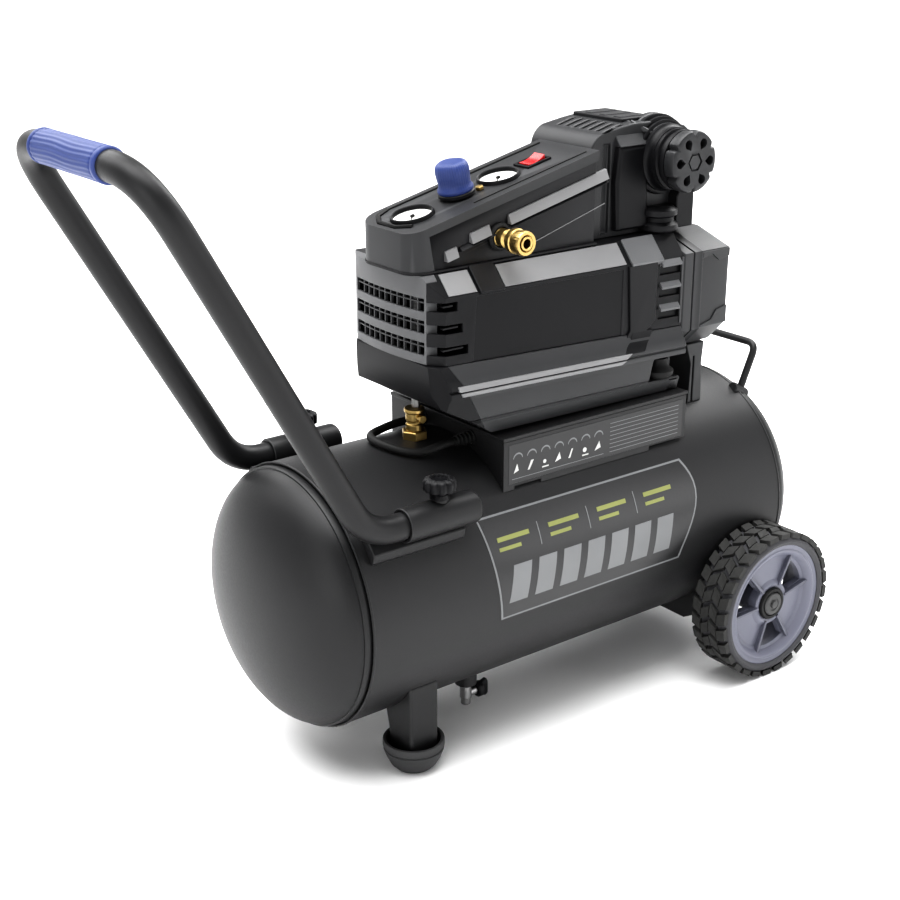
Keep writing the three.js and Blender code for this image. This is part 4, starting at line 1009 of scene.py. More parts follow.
def shroud_plan(inset):
    """Plan of the upper housing behind the cowl, with a cut front corner."""
    left = cowl_low.x + 4.8 + inset
    seam = cowl_high.x + 0.4
    side = HALF_WIDTH - inset
    return [
        (left, 12 - side), (left + 12, -side), (upper_high.x + inset, -side),
        (upper_high.x + inset, side), (seam + 18, side), (seam, side - 19), (seam, 12 - side),
    ]


COWL_FRONT = 12.4 - HALF_WIDTH
COWL_REAR = 40


def cowl_face(y):
    """X of the cowl's gently bowed end face."""
    centre = (COWL_FRONT + COWL_REAR) / 2
    return cowl_low.x + 4.8 * ((y - centre) / (COWL_REAR - centre)) ** 2


def cowl_plan(inset):
    """Plan of the cowl, its rear corner cut off."""
    points = []
    for i in range(13):
        y = COWL_REAR + (COWL_FRONT - COWL_REAR) * i / 12
        points.append((cowl_face(y) + inset, y + (inset if i == 12 else 0)))
    right = cowl_high.x
    return points + [(right, COWL_FRONT + inset), (right, 60.5 - inset)]


def hollow_shell(plan, low, right):
    """What the upper cross-section and a plan share, less the same moved in by the skin."""
    def solid(inset, drop):
        section = upper_section(inset, low - drop)
        long_form = Shape().prism(section, "x", cowl_low.x - 5 + inset, right)
        tall_form = Shape().prism(plan(inset), "z", low - 20, TOP_Z + 20)
        return carved(long_form, tall_form, "INTERSECT")

    inner = solid(SKIN, 10)
    core = Shape()
    core.points = [v.co / MM for v in inner.vertices]
    core.faces = [list(p.vertices) for p in inner.polygons]
    return carved(solid(0, 0), core)


def settled(point):
    """The seam and the sides run down towards the wheels, the seam more than the foot."""
    along = (point.x - lower_low.x) / (lower_high.x - lower_low.x)
    if point.z > SPLIT_Z:
        drop = SEAM_DROP * max(0, TOP_Z - point.z) / (TOP_Z - SPLIT_Z)
    else:
        share = (point.z - lower_low.z) / (SPLIT_Z - lower_low.z)
        drop = FOOT_DROP + (SEAM_DROP - FOOT_DROP) * share
    return Vector((point.x, point.y, point.z - drop * min(1, max(0, along))))


def fan_cowl():
    mesh = hollow_shell(cowl_plan, cowl_low.z, cowl_high.x + 5)
    cuts = Shape()
    bars = Shape()
    front, rear = -65, 39
    pitch = (rear - 12 - front) / 10
    for row in range(3):
        z = cowl_low.z + 8 + row * SLOT_PITCH
        cuts.brick((cowl_low.x - 9, front, z), (cowl_high.x - 5, rear, z + 12))
        for i in range(1, 11):
            y = front + i * pitch
            face = cowl_face(y) + 1.2
            bars.brick((face, y - 0.9, z - 1), (face + 3, y + 0.9, z + 13))
        rail = []
        for i in range(13):
            y = front - 1 + (rear - front + 2) * i / 12
            face = cowl_face(y) + 1
            rail.append([(face + dx, y, z + dz) for dx, dz in ((0, 7.4), (3, 7.4), (3, 9), (0, 9))])
        bars.loft(rail)
    piece("grille_bars", bars, GREY_PLASTIC, bevel=0.3, segments=1)
    piece("grille_cowl", carved(mesh, cuts), COWL_GREY_AND_PAINTED_HIGHLIGHT, bevel=0.5, replaces=["fan_cowl"])


def upper_housing():
    mesh = hollow_shell(shroud_plan, upper_low.z, upper_high.x)
    cuts = Shape()
    left = cowl_low.x
    for i in range(3):
        z = cowl_low.z + 9 + i * SLOT_PITCH
        reach = 30 + 6 * (2 - i)
        cuts.brick((left - 5, -HALF_WIDTH - 5, z), (left + reach, 13 - HALF_WIDTH, z + 8))
    panel = [(left + 48, SPLIT_Z - 5), (134, SPLIT_Z - 5), (134, 445), (left + 52, 445)]
    for side in (-1, 1):
        y = side * HALF_WIDTH
        for i in range(3):
            z = SPLIT_Z + 9 + i * LOUVRE_PITCH
            cuts.brick((LOUVRE_LEFT, y - 2.6, z), (LOUVRE_RIGHT, y + 2.6, z + 12))
        cuts.prism(panel, "y", y - 0.8, y + 0.8)
    cuts.brick((124, -42, 440), (210, 42, TOP_Z + 5))
    mesh = reshaped(carved(mesh, cuts), settled)
    piece("upper_housing", mesh, BLACK_PLASTIC_AND_PAINTED_SHADE, bevel=0.8, replaces=["upper_shroud"])
    fins = Shape()
    for i in range(3):
        z = cowl_low.z + 13 + i * SLOT_PITCH
        reach = 27 + 6 * (2 - i)
        fins.brick((left + 16, 2.6 - HALF_WIDTH, z - 1), (left + reach, 7 - HALF_WIDTH, z + 1))
    piece("corner_slot_fins", fins, BLACK_PLASTIC_AND_PAINTED_SHADE, bevel=0.4)


def on_sides(name, front, material, bevel, rear=None):
    """A trim on the front and, mirrored, on the back, that follows the housing's slope."""
    both = Shape().joined(front).joined((rear or front).mirrored())
    piece(name, reshaped(both, settled), material, bevel=bevel)


def side_band():
    """A raised band on each side that turns towards the wheels at its foot."""
    y = HALF_WIDTH
    outline = [(140, 447), (178, 447), (178, 396), (150, 372), (132, 372), (144, 390)]
    bands = Shape().prism(outline, "y", -y - 2.2, -y + 1)
    foot = []
    for z, left, out in ((388, 147, 2.2), (380, 143, 3.2), (374, 136, 6.6), (367.5, 130, 10.4)):
        corners = ((left, out), (left + 28, out), (left + 28, 0), (left, 0))
        foot.append([(x, -y - reach, z) for x, reach in corners])
    bands.loft(foot)
    on_sides("side_bands", bands, BLACK_PLASTIC_AND_PAINTED_SHADE, 1)
    edge = [
        (-y - 2.2, 447), (-y - 2.2, SHOULDER_Z + 0.5), (-SHOULDER_Y - 0.5, TOP_Z + 2),
        (1 - SHOULDER_Y, 455), (3 - y, 440),
    ]
    # Mid grey on the band's upward shoulder is a painted highlight; the band itself is dark.
    on_sides("band_shoulder_painted_highlights", Shape().prism(edge, "x", 144, 186), COWL_GREY_AND_PAINTED_HIGHLIGHT, 1)
    bead = [(212, 389), (215, 389), (215, TOP_Z - 19), (212, TOP_Z - 19)]
    on_sides("band_beads", Shape().prism(bead, "y", -y - 1, -y + 1), GREY_PLASTIC, 0.5)


def louvre_lips():
    """A lip over each side louvre."""
    shape = Shape()
    y = HALF_WIDTH
    for i in range(3):
        z = SPLIT_Z + 21 + i * LOUVRE_PITCH
        outline = [(2 - y, z - 2), (-y - 3.4, z - 5), (-y - 3.6, z - 2.8), (2 - y, z + 3)]
        shape.prism(outline, "x", LOUVRE_LEFT + 0.5, LOUVRE_RIGHT - 1)
    on_sides("louvre_lips", shape, COWL_GREY_AND_PAINTED_HIGHLIGHT, 0.4)


def shoulder_trims():
    """Light facets on the front and back shoulders, a painted highlight for their upward chamfers,
    with a strap between them.
    """
    def facet(left, right, lift, margin):
        low = Vector((0, -HALF_WIDTH, SHOULDER_Z))
        high = Vector((0, -SHOULDER_Y, TOP_Z))
        along = (high - low).normalized()
        up = Vector((0, -along.z, along.y))
        low += along * margin
        high -= along * margin
        section = [low - up, high - up, high + up * lift, low + up * lift]
        return Shape().prism([(p.y, p.z) for p in section], "x", left, right)

    longer = facet(-12, 138, 0.8, 1)
    front = facet(-76, -44, 0.8, 1).joined(longer)
    rear = facet(-56, -44, 0.8, 1).joined(longer)
    on_sides("shoulder_painted_highlights", front, SILVER_TRIM_AND_PAINTED_HIGHLIGHT, 0.4, rear)
    on_sides("shoulder_straps", facet(-42, -14, 2.6, -2), BLACK_PLASTIC_AND_PAINTED_SHADE, 1.2)


def lower_half():
    """Front half of the lower housing's cross-section, from the seam down."""
    return [
        (-81, SPLIT_Z - 0.3), (-86, 374), (-89.6, 368.5), (-90, 365), (-88.2, 363.4),
        (-89.8, 361.8), (-89.6, 357), (-88, 353.5), (-83.4, 331), (-81.6, 329), (-82.6, 326.5),
        (-79, lower_low.z),
    ]


def lower_parts():
    """The lower housing: a nose in black as painted shade over that end, then a grey body whose
    edge slants away from it.
    """
    left, right = lower_low.x, lower_high.x
    foot = lower_low.z
    front = lower_half()
    section = front + [(-y, z) for y, z in reversed(front)]
    profile = [
        (left + 1, SPLIT_Z), (left + 3, 360), (left + 9, 347), (left + 42, 330), (left + 70, foot),
        (right, foot), (right, SPLIT_Z),
    ]
    plan = [(left, -72), (left + 17, -92), (right, -92), (right, 92), (left + 44, 92), (left, 38)]
    form = Shape().prism(section, "x", left - 5, right)
    form = carved(form, Shape().prism(profile, "y", -95, 95), "INTERSECT")
    form = carved(form, Shape().prism(plan, "z", foot - 5, SPLIT_Z + 5), "INTERSECT")
    hollow = [(left + 30, -76), (right - SKIN, -76), (right - SKIN, 76), (left + 48, 76)]
    hollow.append((left + 30, 55))
    cuts = Shape().prism(hollow, "z", 345, SPLIT_Z + 5)
    fan_low, fan_high = span("cooling_fan")
    room = fan_high.y + FAN_GAP
    well = [(room, fan_low.x - 3), (room, fan_high.x + 3)]
    cuts.turned(well, "x", axis_of("motor_rotor", "x"), 64)
    for side in (-1, 1):
        y = side * 84
        cuts.brick((172, y - 16, 329), (220, y + 16, 356))
        cuts.brick((202, y - 16, 308), (211, y + 16, 326))
    form = carved(form, cuts)
    edge = [(left + 12, SPLIT_Z + 9), (left + 70, foot - 9)]
    nose = edge + [(left - 9, foot - 9), (left - 9, SPLIT_Z + 9)]
    body = edge + [(right + 9, foot - 9), (right + 9, SPLIT_Z + 9)]
    # The nose's black is painted shade over that end of the one housing.
    for name, outline, material, nodes in (
        ("lower_nose_painted_shade", nose, BLACK_PLASTIC_AND_PAINTED_SHADE, []), ("lower_body", body, GREY_PLASTIC, ["lower_shroud"])
    ):
        part = carved(form.copy(), Shape().prism(outline, "y", -99, 99), "INTERSECT")
        piece(name, reshaped(part, settled), material, bevel=0.8, replaces=nodes)


def side_stripes():
    """Two bright ridges low on each side, their wheel ends cut on a slant."""
    front, rear = Shape(), Shape()
    for low, high in ((358, 361.8), (363, 368.4)):
        right = 121 + (high - 356)
        for shape, start in ((front, 19), (rear, 48)):
            left = lower_low.x + start + (370 - low) * 0.7
            outline = [(left, low), (right, low), (right + 7, high), (left - 2, high)]
            shape.prism(outline, "y", -91, -87)
    on_sides("side_stripes", front, SILVER_TRIM_AND_PAINTED_HIGHLIGHT, 0.6, rear)


def corner_buffers():
    """Rubber buffers seen in the recess next to the end cover."""
    shape = Shape()
    profile = [(10, 322), (14, 324), (16, 328), (16, 331), (12, 334), (9, 338), (9, 343)]
    for side in (-1, 1):
        shape.turned(profile, "z", (194, side * 72, 0), 40)
    piece("corner_buffers", shape, RUBBER)


fan_cowl()
upper_housing()
side_band()
louvre_lips()
shoulder_trims()
lower_parts()
side_stripes()
corner_buffers()

# ---- end cover

end_low, end_high = span("end_cover")


def end_section(inset):
    half = HALF_WIDTH - inset
    return [
        (-58 + inset * 0.4, end_low.z + inset), (58 - inset * 0.4, end_low.z + inset),
        (half, end_low.z + 23 + inset * 0.4), (half, end_high.z - 16 - inset * 0.4),
        (34 - inset * 0.4, end_high.z - inset), (-34 + inset * 0.4, end_high.z - inset),
        (-half, end_high.z - 16 - inset * 0.4), (-half, end_low.z + 23 + inset * 0.4),
    ]


def end_cover():
    stations = [
        (0, 4), (2, 1), (3, 0.4), (14, 0.4), (14.3, 2), (16, 2), (16.3, 0.4), (25, 0.4),
        (26, 0), (27.4, 0), (28, 1.6), (62, 1.6), (67, 2.4), (69.3, 6),
    ]
    rings = []
    for x, inset in stations:
        rings.append([(end_low.x + x, y, z) for y, z in end_section(inset)])
    piece("end_cover_shell", Shape().loft(rings), GREY_PLASTIC, bevel=1, replaces=["end_cover"])
    left = end_low.x + 28
    right = end_high.x - 3.5
    mid = (left + right) / 2
    relief = Shape()
    face = -HALF_WIDTH
    top = end_high.z - 17.5
    low = end_low.z + 24
    upper = [(left, top), (right, top), (right, top - 8), (mid + 4, top - 11), (mid - 5, top - 4)]
    upper += [(left, top - 6)]
    lower = [(left, low), (right, low), (right, low + 18), (mid + 4, low + 15), (mid - 3, low + 6)]
    lower += [(left, low + 2)]
    for outline in (upper, lower):
        relief.prism(outline, "y", face + 0.3, face + 3)
    relief.joined(relief.mirrored())
    piece("end_cover_relief", relief, GREY_PLASTIC, bevel=0.5)
    ribs = Shape()
    for i in range(7):
        y = -48 + 16 * i
        near = (end_high.x - 5, y - 2.5, end_low.z + 34)
        ribs.brick(near, (end_high.x - 0.4, y + 2.5, end_high.z - 32))
    piece("end_cover_ribs", ribs, BLACK_PLASTIC_AND_PAINTED_SHADE, bevel=1)


end_cover()

# ---- head cover and filter

hood_low, hood_high = span("head_cover")
filter_centre = axis_of("filter_housing", "y")
STROKE = 22  # the piston's, so that it has room inside the head cover


def hood_outline():
    """Side view of the head cover: a round lobe over the panel, then a flat roof."""
    left, right, top = hood_low.x, hood_high.x, hood_high.z - 4
    points = [(left + 3, hood_low.z), (right, hood_low.z), (right, 520)]
    points += arc((right - 26, top - 30), 26, 0, 60, 5)
    points += [(right - 40, top), (left + 56, top), (left + 40, top - 2)]
    points += arc((left + 22, top - 27), 22, 110, 190, 8)
    return points + [(left - 1, 506)]


def hood():
    half = hood_high.y
    cuts = Shape()
    tilt = Matrix.Rotation(math.radians(-14), 4, "Y") @ Matrix.Rotation(math.radians(12), 4, "Z")
    for i in range(7):
        spot = Matrix.Translation((hood_low.x + 34, -38 + i * 11, hood_high.z - 8))
        cuts.joined(Shape().brick((-14, -2, -4), (14, 2, 12)).moved(spot @ tilt))
    for y in (-half, half):
        cuts.brick((hood_low.x + 17, y - 4, 470), (hood_low.x + 26, y + 4, 556))
    piston_top = span("piston_rod")[1]
    room = piston_top.y + 3
    well = [(room, hood_low.z - 5), (room, piston_top.z + STROKE + 4)]
    cuts.turned(well, "z", axis_of("piston_rod", "z"), 48)
    body = carved(Shape().prism(hood_outline(), "y", -half, half), cuts)
    piece("hood_body", body, GREY_PLASTIC, bevel=4, segments=5, replaces=["head_cover"])
    roof = Shape().brick(
        (hood_low.x + 52, -30, hood_high.z - 8), (hood_high.x - 42, half - 4, hood_high.z - 1)
    )
    for i in range(3):
        y = -22 + 20 * i
        near = (hood_low.x + 56, y, hood_high.z - 6)
        roof.brick(near, (hood_high.x - 46, y + 9, hood_high.z - 0.2))
    piece("hood_roof_plates", roof, BLACK_PLASTIC_AND_PAINTED_SHADE, bevel=1.2)
    wide = [(150, 472), (192, 472), (189, 520), (192, 553), (151, 553), (147, 520)]
    narrow = [(152, 474), (189, 474), (186, 520), (189, 550), (154, 550), (150, 520)]
    rings = []
    for y, outline in ((1 - half, wide), (-half - 6, wide), (-half - 8, narrow)):
        rings.append([(x, y, z) for x, z in outline])
    piece("hood_front_shield", Shape().loft(rings), BLACK_PLASTIC_AND_PAINTED_SHADE, bevel=1.2)
    brow = [(-half - 8, 553), (2 - half, 553), (6 - half, hood_high.z - 6), (2 - half, 566)]
    piece("hood_brow", Shape().prism(brow, "x", 151, 193), GREY_PLASTIC, bevel=1.2)


def duct():
    """Bellows round the filter's axis, and ribbed bands that run from them over the roof."""
    profile = [(41, -26)]
    for radius, y in ((40.5, -36), (38.5, -42), (36, -47), (33, -52)):
        profile += [(radius - 2.2, y + 3), (radius, y + 2), (radius, y - 1), (radius - 1.4, y - 2)]
    profile += [(30, -57), (30, -62)]
    piece("duct_bellows", Shape().turned(profile, "y", filter_centre, 72), BLACK_PLASTIC_AND_PAINTED_SHADE)
    bands = Shape()
    for i in range(3):
        bend = 38 - 3.5 * i
        y = -30 - 9 * i
        path = []
        for a, b in arc((filter_centre.x, filter_centre.z), bend, 20, 128, 18):
            path.append((a, y, min(b, hood_high.z - 2)))
        path.append((hood_low.x + 58, y + 12, hood_high.z - 4))
        bands.tube(path, 2.6, 8)
    piece("duct_ridges", bands, GREY_PLASTIC)


def hood_mount():
    """The round boss and its small bracket under the filter."""
    shape = Shape()
    profile = [(19, 467), (21, 469), (21, 474), (17, 477), (17, 481), (20, 483), (20, 488)]
    profile.append((16, 491))
    shape.turned(profile, "z", (filter_centre.x - 6, -48, 0), 40)
    piece("hood_round_mount", shape, BLACK_PLASTIC_AND_PAINTED_SHADE)
    block = Shape().prism(
        [(226, 467), (250, 467), (250, 500), (244, 506), (230, 506), (226, 498)], "y", -56, -40
    )
    piece("hood_corner_block", block, BLACK_PLASTIC_AND_PAINTED_SHADE, bevel=1.5)


def filter_parts():
    low, high = span("filter_housing")
    radius = (high.z - low.z) / 2
    profile = [(27, high.y), (27, -60), (radius, -62), (radius, -66), (27.4, -67.5), (27.4, -70)]
    profile += [(radius, -71.5), (radius, low.y), (24, low.y)]
    shape = Shape().turned(profile, "y", filter_centre, 72)
    piece("filter_body", shape, BLACK_PLASTIC_AND_PAINTED_SHADE, replaces=["filter_housing"])
    low, high = span("filter_cover")
    edge = (high.x - low.x) / 2

    def lobes(angle, _):
        notch = max(0, math.cos(6 * angle - math.pi)) ** 10
        return 1 - 0.13 * notch

    profile = [(edge - 3, high.y), (edge - 0.4, high.y - 1), (edge, high.y - 4)]
    profile += [(edge, low.y + 4), (edge - 1, low.y + 1.6), (edge - 3.2, low.y + 0.3)]
    profile += [(edge - 6, low.y), (2, low.y)]
    lid = Shape().turned(profile, "y", filter_centre, 144, wave=lobes)
    hub = (filter_centre.x, filter_centre.z)
    cuts = Shape()
    drop_shape = arc((20, 0), 4.6, -110, 110, 12) + [(13.2, 0)]
    for i in range(6):
        hole = turned_outline(drop_shape, hub, FULL_TURN * i / 6)
        cuts.prism(hole, "y", low.y - 3, low.y + 9)
    cuts.prism(arc(hub, 9.5, 0, 300, 5), "y", low.y - 3, low.y + 2)
    piece("filter_lid", carved(lid, cuts), GREY_PLASTIC, "filter_lid", bevel=0.6,
          replaces=["filter_cover"], smooth=45)
    boss = Shape().prism(arc(hub, 7.6, 0, 300, 5), "y", low.y + 0.3, low.y + 3)
    piece("filter_lid_boss", boss, GREY_PLASTIC, "filter_lid", bevel=0.6)


hood()
duct()
hood_mount()
filter_parts()

# ---- console

console_low, console_high = span("control_console")


def joint_named(name):
    return next(joint for joint in frame["joints"] if joint["name"] == name)


knob_joint = joint_named("regulator_turn")
PANEL_SPOT = Vector(knob_joint["pos_m"]) / MM
PANEL_UP = Vector(knob_joint["axis"]).normalized()
PANEL_SLOPE = math.atan2(-PANEL_UP.x, PANEL_UP.z)
BEZEL_RADIUS = 20.3


def panel_frame(joint_name):
    """A matrix that stands a shape on the panel at a joint: +X up the slope, +Z out of it."""
    spot = Vector(joint_named(joint_name)["pos_m"]) / MM
    return Matrix.Translation(spot) @ Matrix.Rotation(-PANEL_SLOPE, 4, "Y")


def panel_z(x):
    return PANEL_SPOT.z + (x - PANEL_SPOT.x) * math.tan(PANEL_SLOPE)


def console_plan(inset, nose):
    """Plan of the console with a rounded nose."""
    left, right = console_low.x + inset, console_high.x
    front, back = console_low.y + inset, console_high.y - inset
    points = [(right, back)]
    points += arc((left + nose, back - nose), nose, 90, 180, 8)
    points += arc((left + nose * 0.7, front + nose * 0.7), nose * 0.7, 180, 270, 8)
    return points + [(right, front)]


def console_slab(inset, nose, drop):
    """The console from its foot up to a depth below the panel's surface."""
    left, right = console_low.x - 5, console_high.x
    side = [(left, panel_z(left) - drop), (right, panel_z(right) - drop)]
    side += [(right, console_low.z), (left, console_low.z)]
    tall = Shape().prism(console_plan(inset, nose), "z", console_low.z, 580)
    return carved(tall, Shape().prism(side, "y", -90, 90), "INTERSECT")


def console():
    """A rounded nose and a sloping panel that stands out over a dark wall on each side."""
    shell = console_slab(0, 24, 0.4)
    recess = Shape()
    start = console_low.x + 27
    far = console_high.x + 9
    drop = 10
    outline = [(start, console_low.z - 5), (far, console_low.z - 5)]
    outline += [(far, panel_z(far) - drop), (start - 7, panel_z(start) - drop)]
    recess.prism(outline, "y", console_low.y - 5, console_low.y + 9)
    recess.prism(outline, "y", console_high.y - 9, console_high.y + 5)
    shell = carved(shell, recess)
    cuts = Shape()
    for joint in ("tank_needle_turn", "outlet_needle_turn"):
        room = BEZEL_RADIUS + 0.3
        hole = Shape().turned([(room, -20), (room, 20)], "z", (0, 0, 0), 64)
        cuts.joined(hole.moved(panel_frame(joint)))
    shell = carved(shell, cuts)
    groove = Shape()
    edge = console_low.x + 7
    runs = [
        [(edge + 8, -44), (edge, -30), (edge, -5), (edge + 9, 10), (edge + 22, 15)],
        [(edge + 22, 15), (console_high.x - 8, 15)],
        [(edge + 70, -52), (console_high.x - 8, -52)],
    ]
    seam = Shape()
    for wide, run in zip((2.6, 1.5, 1), runs):
        path = [(x, y, panel_z(x) - 0.3) for x, y in run]
        groove.tube(path, wide, 8)
        seam.tube(path, wide - 0.3, 8)
    piece("console_seam_line", seam, DIAL_INK)
    piece("console_shell", carved(shell, groove), GREY_PLASTIC, bevel=2.4, segments=4)
    keep = Shape().brick((start - 9, -70, 400), (far, 70, 600))
    wall = carved(console_slab(4, 21, 9.3), keep, "INTERSECT")
    way = Shape().turned([(9.5, -80), (9.5, -50)], "y", axis_of("outlet_coupler", "y"), 32)
    piece("console_wall", carved(wall, way), BLACK_PLASTIC_AND_PAINTED_SHADE, bevel=0.8, replaces=["control_console"])
    base = Shape().prism(console_plan(-1.2, 25), "z", console_low.z + 0.2, console_low.z + 2.6)
    piece("console_base_line", base, BLACK_PLASTIC_AND_PAINTED_SHADE, bevel=0.8)


def console_trims():
    """Bright and dark ridges along the front wall, parallel to the panel."""
    front = console_low.y + 4
    ys = (front + 2, front - 1.5, front - 6, front + 2)
    start = middle("outlet_coupler").x
    right = console_high.x + 12

    def ridge(shape, left, end, drops):
        rings = [[(x, y, panel_z(x) - drop) for y, drop in zip(ys, drops)] for x in (left, end)]
        shape.loft(rings)

    bright = Shape()
    for left, end, drop in (
        (start + 10, right, 22), (start - 34, start - 12, 23), (start - 62, start - 49, 29)
    ):
        ridge(bright, left, end, (drop, drop, drop + 9, drop + 9))
    piece("console_front_stripe", bright, SILVER_TRIM_AND_PAINTED_HIGHLIGHT, bevel=0.5)
    dark = Shape()
    ridge(dark, start - 46, right, (31, 31, 34, 36))
    piece("console_front_ridges", dark, BLACK_PLASTIC_AND_PAINTED_SHADE, bevel=0.5)
    bead = [(start + 34, front - 0.2, 476), (right, front - 0.2, 504)]
    piece("console_front_bead", Shape().tube(bead, 0.5, 6), SILVER_TRIM_AND_PAINTED_HIGHLIGHT)


console()
console_trims()

# ---- gauges, knob and switch

ZERO_ANGLE = 225
SWEEP = 270
MARKS = 30


def gauge(node, joint_name, body):
    turn = panel_frame(joint_name)
    bezel = [
        (18.6, -12), (BEZEL_RADIUS, -12), (BEZEL_RADIUS, 2), (19.9, 3.1), (19.3, 3.4), (18.6, 2.8),
        (18.3, 0.8), (18.3, -0.6),
    ]
    shape = Shape().turned(bezel, "z", (0, 0, 0), 72, closed=True).moved(turn)
    piece(node + "_bezel", shape, BLACK_PLASTIC_AND_PAINTED_SHADE)
    face = Shape().turned([(18.5, -3), (18.5, -0.9), (1.2, -0.8), (1.2, -0.4)], "z", (0, 0, 0), 64)
    piece(node + "_dial", face.moved(turn), DIAL_WHITE, replaces=[node])
    marks = Shape()
    for i in range(MARKS + 1):
        long_mark = i % 5 == 0
        angle = math.radians(ZERO_ANGLE - SWEEP / MARKS * i)
        mark = Shape().brick((13.6 if long_mark else 14.8, -0.14, -0.92), (16.4, 0.14, -0.7))
        marks.joined(mark.moved(turn @ Matrix.Rotation(angle, 4, "Z")))
    piece(node + "_marks", marks, DIAL_INK)
    hand = Shape().prism([(-4, -0.6), (4, -0.5), (12.6, 0), (4, 0.5), (-4, 0.6)], "z", -0.1, 0.4)
    hand.moved(Matrix.Rotation(math.radians(ZERO_ANGLE), 4, "Z"))
    hand.turned([(2.2, -0.2), (2.2, 0.7), (1.6, 1)], "z", (0, 0, 0), 24)
    needle = "needle_" + node.split("_")[1]
    piece(node + "_hand", hand.moved(turn), DIAL_INK, body, replaces=[needle])


def regulator_knob():
    """A bulging knob with four broad hollows for the fingers and a fine knurl."""
    turn = panel_frame("regulator_turn")

    def hollows(angle, z):
        if z < 9:
            return 1
        share = min(1, (z - 9) / 6)
        broad = 0.1 * max(0, math.cos(2 * (angle - 0.5))) ** 2
        return 1 - share * (broad + 0.02 * (0.5 + 0.5 * math.cos(40 * angle)))

    profile = [(16.4, 5.6), (16.8, 7), (16.4, 9), (15.2, 10.5), (15, 14), (15.6, 20), (15.8, 25)]
    profile += [(15.2, 28.5), (14, 30.8), (12, 32.2), (9, 32.9), (3, 33.1)]
    shape = Shape().turned(profile, "z", (0, 0, 0), 200, wave=hollows).moved(turn)
    piece("knurled_knob", shape, BLUE_PLASTIC, "regulator", replaces=["regulator_knob"], smooth=60)
    collar = [(5, -8), (5, 0.9), (16, 0.9), (17, 1.8), (17, 4.4), (16, 5.4)]
    piece("knob_collar", Shape().turned(collar, "z", (0, 0, 0), 64).moved(turn), BLACK_PLASTIC_AND_PAINTED_SHADE,
          "regulator")
    nut = Shape().turned([(4, 0), (4, 2.6), (3.2, 3.4), (1.5, 3.4)], "z", (20.5, -8, 0), 6)
    piece("panel_nut", nut.moved(turn), BRASS, bevel=0.3)


def power_switch():
    turn = panel_frame("power_rocker") @ Matrix.Translation((0, 0, 2))
    half_length, half_width = 10, 7.5
    outline = [(-half_length, -5), (half_length, -5), (half_length, 5.3)]
    for i in range(1, 9):
        t = i / 8
        outline.append((half_length - 2 * half_length * t, 5.3 - 10.4 * t + 7.4 * t * t))
    rocker = Shape().prism(outline, "y", -half_width, half_width).moved(turn)
    piece("rocker", rocker, RED_PLASTIC, "rocker", bevel=0.7, segments=3, replaces=["power_switch"])
    outer = Shape().brick((-14.5, -11, -0.6), (14.5, 11, 1.8)).moved(turn)
    hole = Shape().brick((-11.6, -8.2, -6), (11.6, 8.2, 6)).moved(turn)
    piece("switch_bezel", carved(outer, hole), BLACK_PLASTIC_AND_PAINTED_SHADE, bevel=0.6)


gauge("gauge_tank", "tank_needle_turn", "tank_gauge_needle")
gauge("gauge_outlet", "outlet_needle_turn", "outlet_gauge_needle")
regulator_knob()
power_switch()
paint_node("pressure_switch", BLACK_PLASTIC_AND_PAINTED_SHADE)

# ---- brass parts and inner pieces

WIRE = 1.2  # radius of the pull ring's wire


def coupler():
    centre = axis_of("outlet_coupler", "y")
    low, high = span("outlet_coupler")
    profile = [(7, high.y), (7, -57), (8.5, -58), (8.5, -62), (7.8, -62.6), (7.8, -64)]
    profile += [(8.5, -64.6), (8.5, -71), (6.5, -73), (6.5, low.y + 0.4), (6.1, low.y)]
    profile += [(4.6, low.y), (4.2, low.y + 0.5), (4.2, low.y + 28)]
    shape = Shape().turned(profile, "y", centre, 48)
    piece("coupler_body", shape, BRASS, replaces=["outlet_coupler"])
    low, high = span("coupler_sleeve")

    def knurl(angle, y):
        rough = low.y + 1.6 < y < low.y + 6.4
        return 1 - 0.03 * (0.5 + 0.5 * math.cos(24 * angle)) if rough else 1

    profile = [(7, high.y), (9, high.y), (11.3, high.y - 3), (11.5, high.y - 4)]
    profile += [(11.5, high.y - 8), (10.6, high.y - 9), (10.6, low.y + 7), (11.5, low.y + 6.2)]
    profile += [(11.5, low.y + 4), (11.5, low.y + 1.8), (10.6, low.y), (8, low.y), (7, low.y + 0.8)]
    shape = Shape().turned(profile, "y", centre, 96, closed=True, wave=knurl)
    piece("coupler_collar", shape, BRASS, "sleeve", replaces=["coupler_sleeve"])
    washer = [(9.4, -57), (13, -57), (13, -61), (11, -63), (9.4, -63)]
    piece("coupler_grommet", Shape().turned(washer, "y", centre, 40, closed=True), RUBBER)


def safety_valve():
    low, high = span("safety_valve_body")
    spot = axis_of("safety_valve_body", "y")
    hexagon = Shape().turned([(8, 27), (8.8, 28), (8.8, 33), (8, 34)], "y", spot, 6)
    profile = [(6, low.y), (6, 27), (6.5, 34), (6.5, high.y - 1.4), (4, high.y)]
    hexagon.turned(profile, "y", spot, 40)
    piece("safety_valve", hexagon, BRASS, bevel=0.3, replaces=["safety_valve_body"])
    low, high = span("safety_ring")
    ring_radius = (high.x - low.x) / 2 - WIRE
    hub = Vector((spot.x, high.y - WIRE - ring_radius, spot.z))
    path = []
    for i in range(41):
        angle = FULL_TURN * i / 40
        path.append(hub + ring_radius * Vector((math.cos(angle), math.sin(angle), 0)))
    shape = Shape().tube(path, WIRE, 10)
    shape.turned([(1.5, low.y), (1.5, low.y + 4.5)], "y", spot, 16)
    piece("pull_ring", shape, STEEL, "safety_pull", replaces=["safety_ring"])


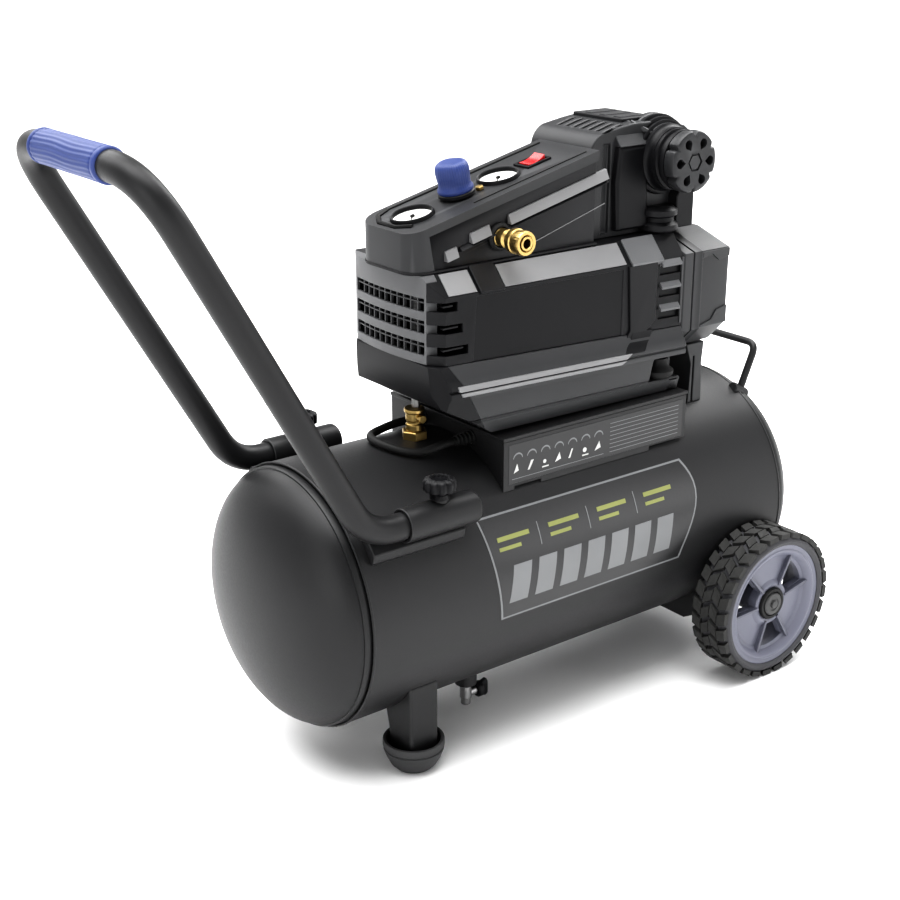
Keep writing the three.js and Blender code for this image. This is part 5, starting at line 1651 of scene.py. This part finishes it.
def check_valve():
    low, high = span("check_valve")
    x = high.x - 13
    hexagon = Shape().turned([(12, 290), (13, 291), (13, 299), (12, 300)], "z", (x, 0, 0), 6)
    profile = [(8.5, 300), (8.5, 306), (7.4, 307), (7.4, 309), (8.5, 310), (8.5, 317), (10, 318)]
    profile += [(10, high.z - 1), (9, high.z)]
    hexagon.turned(profile, "z", (x, 0, 0), 36)
    hexagon.turned([(4, low.y), (4, -4)], "y", (x, 0, high.z - 9), 24)
    piece("check_valve_body", hexagon, BRASS, bevel=0.4, replaces=["check_valve"])


coupler()
safety_valve()
check_valve()
for node in ("discharge_tube", "crankcase", "cylinder", "cylinder_head", "piston_rod"):
    paint_node(node, ALUMINIUM)
paint_node("motor_stator", IRON)
paint_node("motor_rotor", STEEL)
paint_node("cooling_fan", BLACK_PLASTIC_AND_PAINTED_SHADE)

# ---- floor and light


def stage_piece(name, points, faces, colour, glow):
    """A part of the studio: pale, and lit from within by glow."""
    mesh = bpy.data.meshes.new(name)
    mesh.from_pydata(points, [], faces)
    pale = bpy.data.materials.new("pale_" + name)
    pale.use_nodes = True
    shader = pale.node_tree.nodes["Principled BSDF"]
    shader.inputs["Base Color"].default_value = (colour, colour, colour, 1)
    shader.inputs["Roughness"].default_value = 0.7
    shader.inputs["Emission Color"].default_value = (1, 1, 1, 1)
    shader.inputs["Emission Strength"].default_value = glow
    mesh.materials.append(pale)
    obj = bpy.data.objects.new(name, mesh)
    obj.location.z = -0.2 * MM
    bpy.context.collection.objects.link(obj)


LAMPS = (  # name, place, size and power
    ("left_box", (-2.4, -1.2, 1.1), (1.8, 1.6), 17),
    ("front_right_box", (1.6, -1.9, 1.0), (0.9, 1.6), 8),
    ("top_box", (0.3, -0.25, 2.2), (2.2, 1.0), 26),
    ("back_box", (-0.5, 1.8, 1.9), (2.4, 1.2), 34),
    ("right_box", (1.9, 0.35, 1.9), (1.5, 1.5), 38),
)
LAMP_AIM = Vector((0, 0, 0.3))


def studio():
    """A pale floor, a white wall all round it far away, a dim sky and soft lamps."""
    reach = 30
    wall_height = 9
    ring = arc((0, 0), reach, 0, 360, 64)[:-1]
    count = len(ring)
    stage_piece("floor", [(x, y, 0) for x, y in ring], [range(count)], 0.9, 0)
    wall = [(x, y, z) for z in (0, wall_height) for x, y in ring]
    sides = [(i, (i + 1) % count, count + (i + 1) % count, count + i) for i in range(count)]
    stage_piece("backdrop", wall, sides, 0.0, 0.9)
    world = bpy.data.worlds.new("studio")
    world.use_nodes = True
    sky_light = world.node_tree.nodes["Background"]
    sky_light.inputs["Color"].default_value = (1, 1, 1, 1)
    sky_light.inputs["Strength"].default_value = 0.26
    bpy.context.scene.world = world
    view = bpy.context.scene.view_settings
    view.view_transform = "Standard"
    view.look = "High Contrast"
    sun = bpy.data.lights.new("sky_panel", "SUN")
    sun.energy = 3.2
    sun.angle = math.radians(50)
    sky = bpy.data.objects.new("sky_panel", sun)
    sky.rotation_euler = [math.radians(a) for a in (-6, -14, 0)]
    bpy.context.collection.objects.link(sky)
    for name, spot, size, power in LAMPS:
        light = bpy.data.lights.new(name, "AREA")
        light.shape = "RECTANGLE"
        light.size, light.size_y = size
        light.energy = power
        lamp = bpy.data.objects.new(name, light)
        lamp.location = spot
        aim = LAMP_AIM - Vector(spot)
        lamp.rotation_euler = aim.to_track_quat("-Z", "Y").to_euler()
        bpy.context.collection.objects.link(lamp)


studio()
